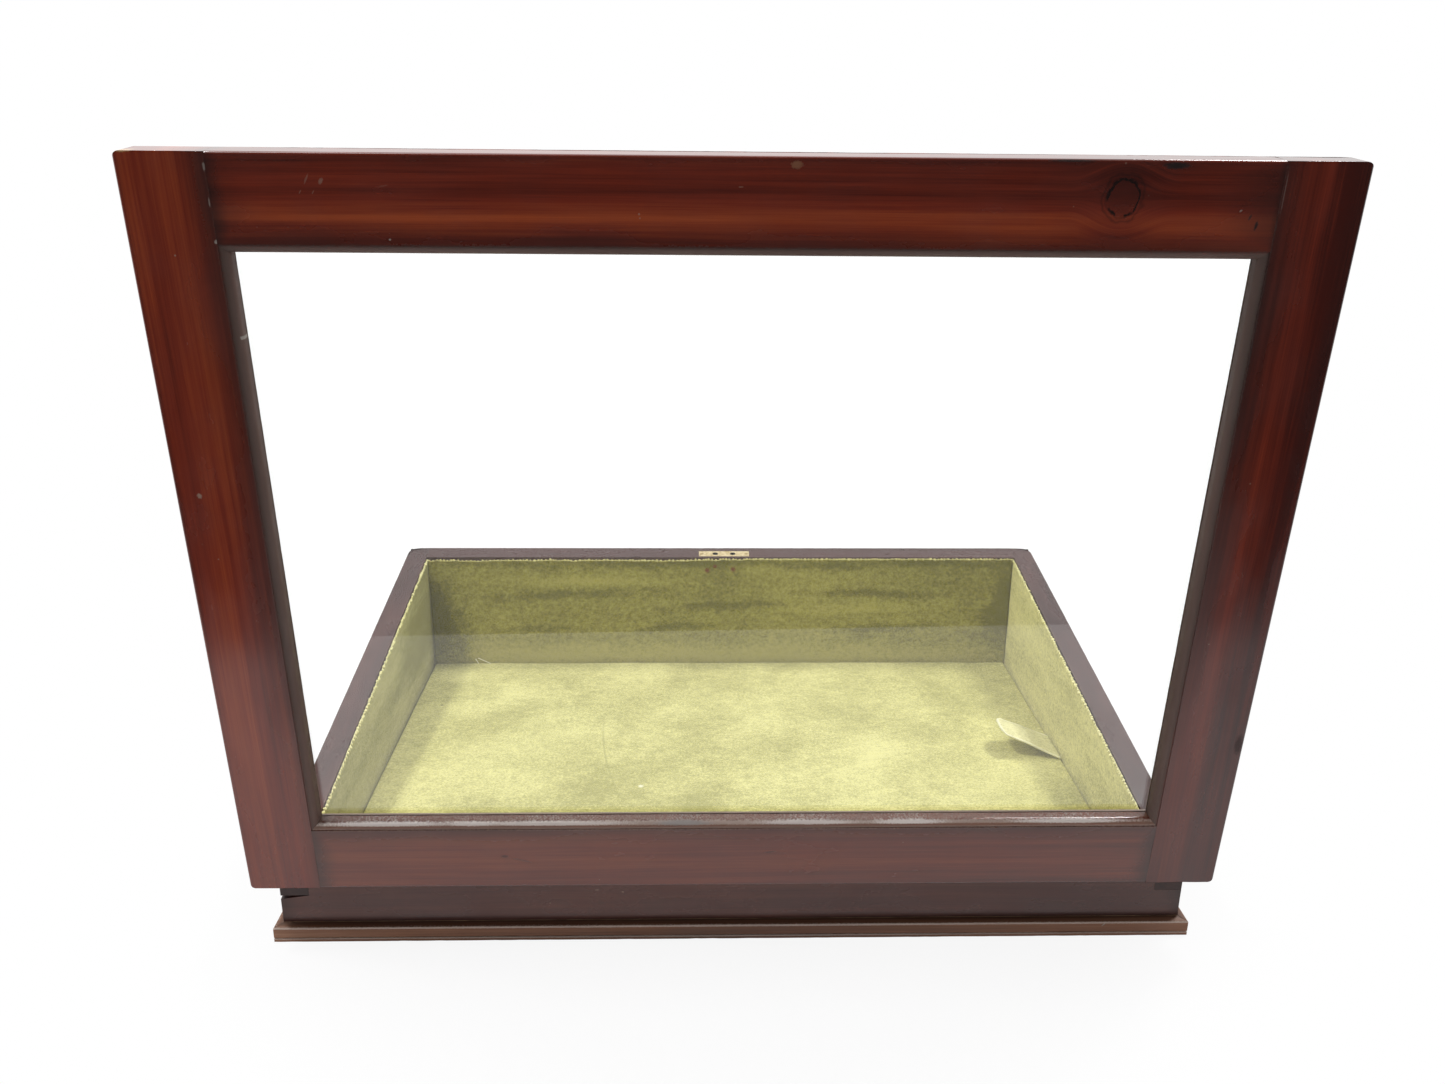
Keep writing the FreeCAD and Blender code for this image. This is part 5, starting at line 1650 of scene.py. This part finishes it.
@dataclass
class Hardware:
    """The lock, its link plate, the hinges, the screws and the nails."""

    hinge_x: float = 0.200
    pitch: float = 0.016
    line: float = 9.5 * MM
    lock_x: float = 2.0 * MM
    lock_half: float = 21.7 * MM
    slot_half: float = 8.5 * MM
    lock_run: float = 0.4220487
    proud: float = 0.2 * MM
    small: tuple[float, ...] = (1.8 * MM, 0.9 * MM, 1.8 * MM, 12 * MM)
    big: tuple[float, ...] = (2.7 * MM, 1.3 * MM, 1.2 * MM, 13 * MM)

    def build(self) -> list[bpy.types.Object]:
        """Dress the metal nodes and build the screws.

        Returns:
            The screws' pieces.
        """
        brass, steel = BRASS.material("old_brass"), STEEL.material("rusty_steel")
        slope = Matrix.Translation(HINGE) @ Matrix.Rotation(SLOPE_TURN, 4, "X")
        slots = (Vector((self.lock_x + s * self.slot_half, self.lock_run, 0.0)) for s in (-1, 1))
        # The metal round the lock's two slots is painted shade
        holes = tuple(tuple(slope @ slot) for slot in slots)
        lock = replace(LOCK_BRASS, holes=holes).material("lock_brass")
        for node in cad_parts:
            if node in ("lock_case", "lock_bolt"):
                dress(node, lock)
            elif node.startswith(("hinge_", "lock_", "key_", "link_")):
                dress(node, brass)
        dress("bottom_nails", steel)
        butts = tuple((s * self.hinge_x + t * self.pitch, self.line) for s in (-1, 1) for t in (-1, 1))
        ends = tuple((self.lock_x + s * self.lock_half, self.lock_run) for s in (-1, 1))
        rows = (("hinge_case_screws", "case", SLOPE_TURN, butts, 1, self.big),
                ("lock_screws", "case", SLOPE_TURN, ends, 1, self.small),
                ("hinge_lid_screws", "lid", OPEN_TURN, butts, -1, self.big),
                ("link_plate_screws", "lid", OPEN_TURN, ends, -1, self.small))
        made = []
        for node, body, turn, spots, up, sizes in rows:
            placed = tuple((x, y, -up * self.proud) for x, y in spots)
            made.append(Screws(node, body, turn, placed, up, *sizes).build(brass))
        return made


@dataclass(frozen=True)
class Lamp:
    """A soft light that faces the case, with its two sides and its power."""

    name: str
    spot: Place
    sides: tuple[float, float]
    power: float

    def hang(self) -> None:
        """Hang the light in the scene."""
        lamp = bpy.data.lights.new(self.name, "AREA")
        lamp.shape = "RECTANGLE"
        lamp.size, lamp.size_y = self.sides
        lamp.energy = self.power
        item = bpy.data.objects.new(self.name, lamp)
        item.location = self.spot
        item.rotation_euler = (-Vector(self.spot)).to_track_quat("-Z", "Y").to_euler()
        bpy.context.scene.collection.objects.link(item)


@dataclass
class Studio:
    """A pale table under a soft overhead light, and the camera."""

    table_edge: float = -0.5876
    table_skew: float = -0.0283
    table_far: float = 6.0
    table_low: float = -0.3 * MM
    shadow_reach: tuple[float, float] = (0.32, 0.46)
    shadow_kept: float = 0.90
    table_grey: float = 0.90
    flag_grey: float = 0.05
    through_glass: float = 0.12
    flag_y: float = -1.7
    flag_half: float = 4.0
    flag_low: float = -2.5
    soft_light: float = 0.30
    lens: float = 29.8425
    sensor: float = 36.0
    eye: Vector = field(default_factory=lambda: Vector((-0.030018, -0.906630, 0.514208)))
    right: Vector = field(default_factory=lambda: Vector((0.999659252, -0.024506124, 0.008990543)))
    ahead: Vector = field(default_factory=lambda: Vector((0.026092165, 0.948135418, -0.316793985)))

    def build(self) -> None:
        """Build the floor, the lights, the world and the camera."""
        self.floor()
        self.flag()
        self.lamps()
        self.world()
        self.camera()
        bpy.context.scene.view_settings.view_transform = "Standard"

    def sheet(self, name: str, corners: list[Place], material: bpy.types.Material) -> bpy.types.Object:
        """Add one flat piece of the stage.

        Args:
            name: Its name.
            corners: Its four corners.
            material: Its material.

        Returns:
            The object.
        """
        bm = bmesh.new()
        bm.faces.new([bm.verts.new(corner) for corner in corners])
        item = link_mesh(bm, name, material)
        return item

    def whiteness(self, g: Graph) -> tuple[Socket, Socket]:
        """Pick the rays that should meet a plain white ground.

        Args:
            g: The tree of the floor or the world.

        Returns:
            1 for those rays, and the strength of the white, a little more where the glass takes some away.
        """
        path = g.add("LightPath")
        through = path.outputs["Is Transmission Ray"]
        rays = g.math("MAXIMUM", path.outputs["Is Camera Ray"], path.outputs["Is Glossy Ray"])
        strength = g.math("MULTIPLY_ADD", through, self.through_glass, 1.0)
        return g.math("MAXIMUM", rays, through), strength

    def floor(self) -> None:
        """Lay the pale floor, which keeps a soft shadow near the case."""
        g = Graph.named("pale_floor")
        seen, strength = self.whiteness(g)
        where = g.place()
        far = g.add("VectorMath", {0: where}, operation="LENGTH").outputs["Value"]
        seen = g.math("MULTIPLY", seen, g.fade(far, *self.shadow_reach, self.shadow_kept, 1.0))
        matt = g.add("BsdfDiffuse", {"Color": grey(self.table_grey)})
        glow = g.add("Emission", {"Color": grey(1.0), "Strength": strength})
        g.end(g.add("MixShader", {0: seen, 1: matt.outputs[0], 2: glow.outputs[0]}))
        far, low = self.table_far, self.table_low
        near = [(x, self.table_edge + self.table_skew * x, low) for x in (-far, far)]
        self.sheet("floor", near + [(far, far, low), (-far, far, low)], g.owner)

    def flag(self) -> None:
        """Stand a dark flag behind the camera, which only keeps reflections off the glass."""
        g = Graph.named("dark_flag")
        g.end(g.add("Emission", {"Color": grey(self.flag_grey), "Strength": 1.0}))
        far, y, low = self.flag_half, self.flag_y, self.flag_low
        flag = self.sheet("flag", [(-far, y, low), (far, y, low), (far, y, far), (-far, y, far)], g.owner)
        flag.visible_camera = False
        flag.visible_diffuse = False
        flag.visible_shadow = False
        flag.visible_transmission = False

    def lamps(self) -> None:
        """Hang a long light overhead, a soft and a small one up on the left and one behind on the right."""
        for lamp in (Lamp("overhead", (-0.2, 0.15, 1.9), (2.2, 0.35), 3.0),
                     Lamp("left", (-0.80, -0.33, 1.75), (0.8, 0.8), 6.0),
                     Lamp("key", (-0.87, -0.33, 1.75), (0.20, 0.20), 12.5),
                     Lamp("right", (0.98, 0.42, 1.75), (0.40, 0.40), 19.0)):
            lamp.hang()

    def world(self) -> None:
        """Light the scene evenly, with a white ground behind it."""
        g = Graph(bpy.data.worlds.new("studio"), "OutputWorld")
        seen, strength = self.whiteness(g)
        soft = g.add("Background", {"Color": shade(0.96, 0.98, 1.0), "Strength": self.soft_light})
        white = g.add("Background", {"Color": grey(1.0), "Strength": strength})
        g.end(g.add("MixShader", {0: seen, 1: soft.outputs[0], 2: white.outputs[0]}))
        bpy.context.scene.world = g.owner

    def camera(self) -> None:
        """Set the camera at the photograph's place."""
        data = bpy.data.cameras.new("camera")
        data.sensor_fit = "HORIZONTAL"
        data.sensor_width = self.sensor
        data.lens = self.lens
        item = bpy.data.objects.new("camera", data)
        up = self.right.cross(self.ahead)
        turn = Matrix((self.right, up, -self.ahead)).transposed().to_4x4()
        item.matrix_world = Matrix.Translation(self.eye) @ turn
        bpy.context.scene.collection.objects.link(item)
        bpy.context.scene.camera = item


def main() -> None:
    """Build every sub-assembly and the studio."""
    logging.basicConfig(level=logging.INFO, format="%(name)s %(message)s")
    made = Carcass().build() + Lid().build() + Lining().build() + FloorPad().build() + Hardware().build()
    LOG.info("%d pieces built", len(made))
    Studio().build()


if __name__ == "__main__":
    main()
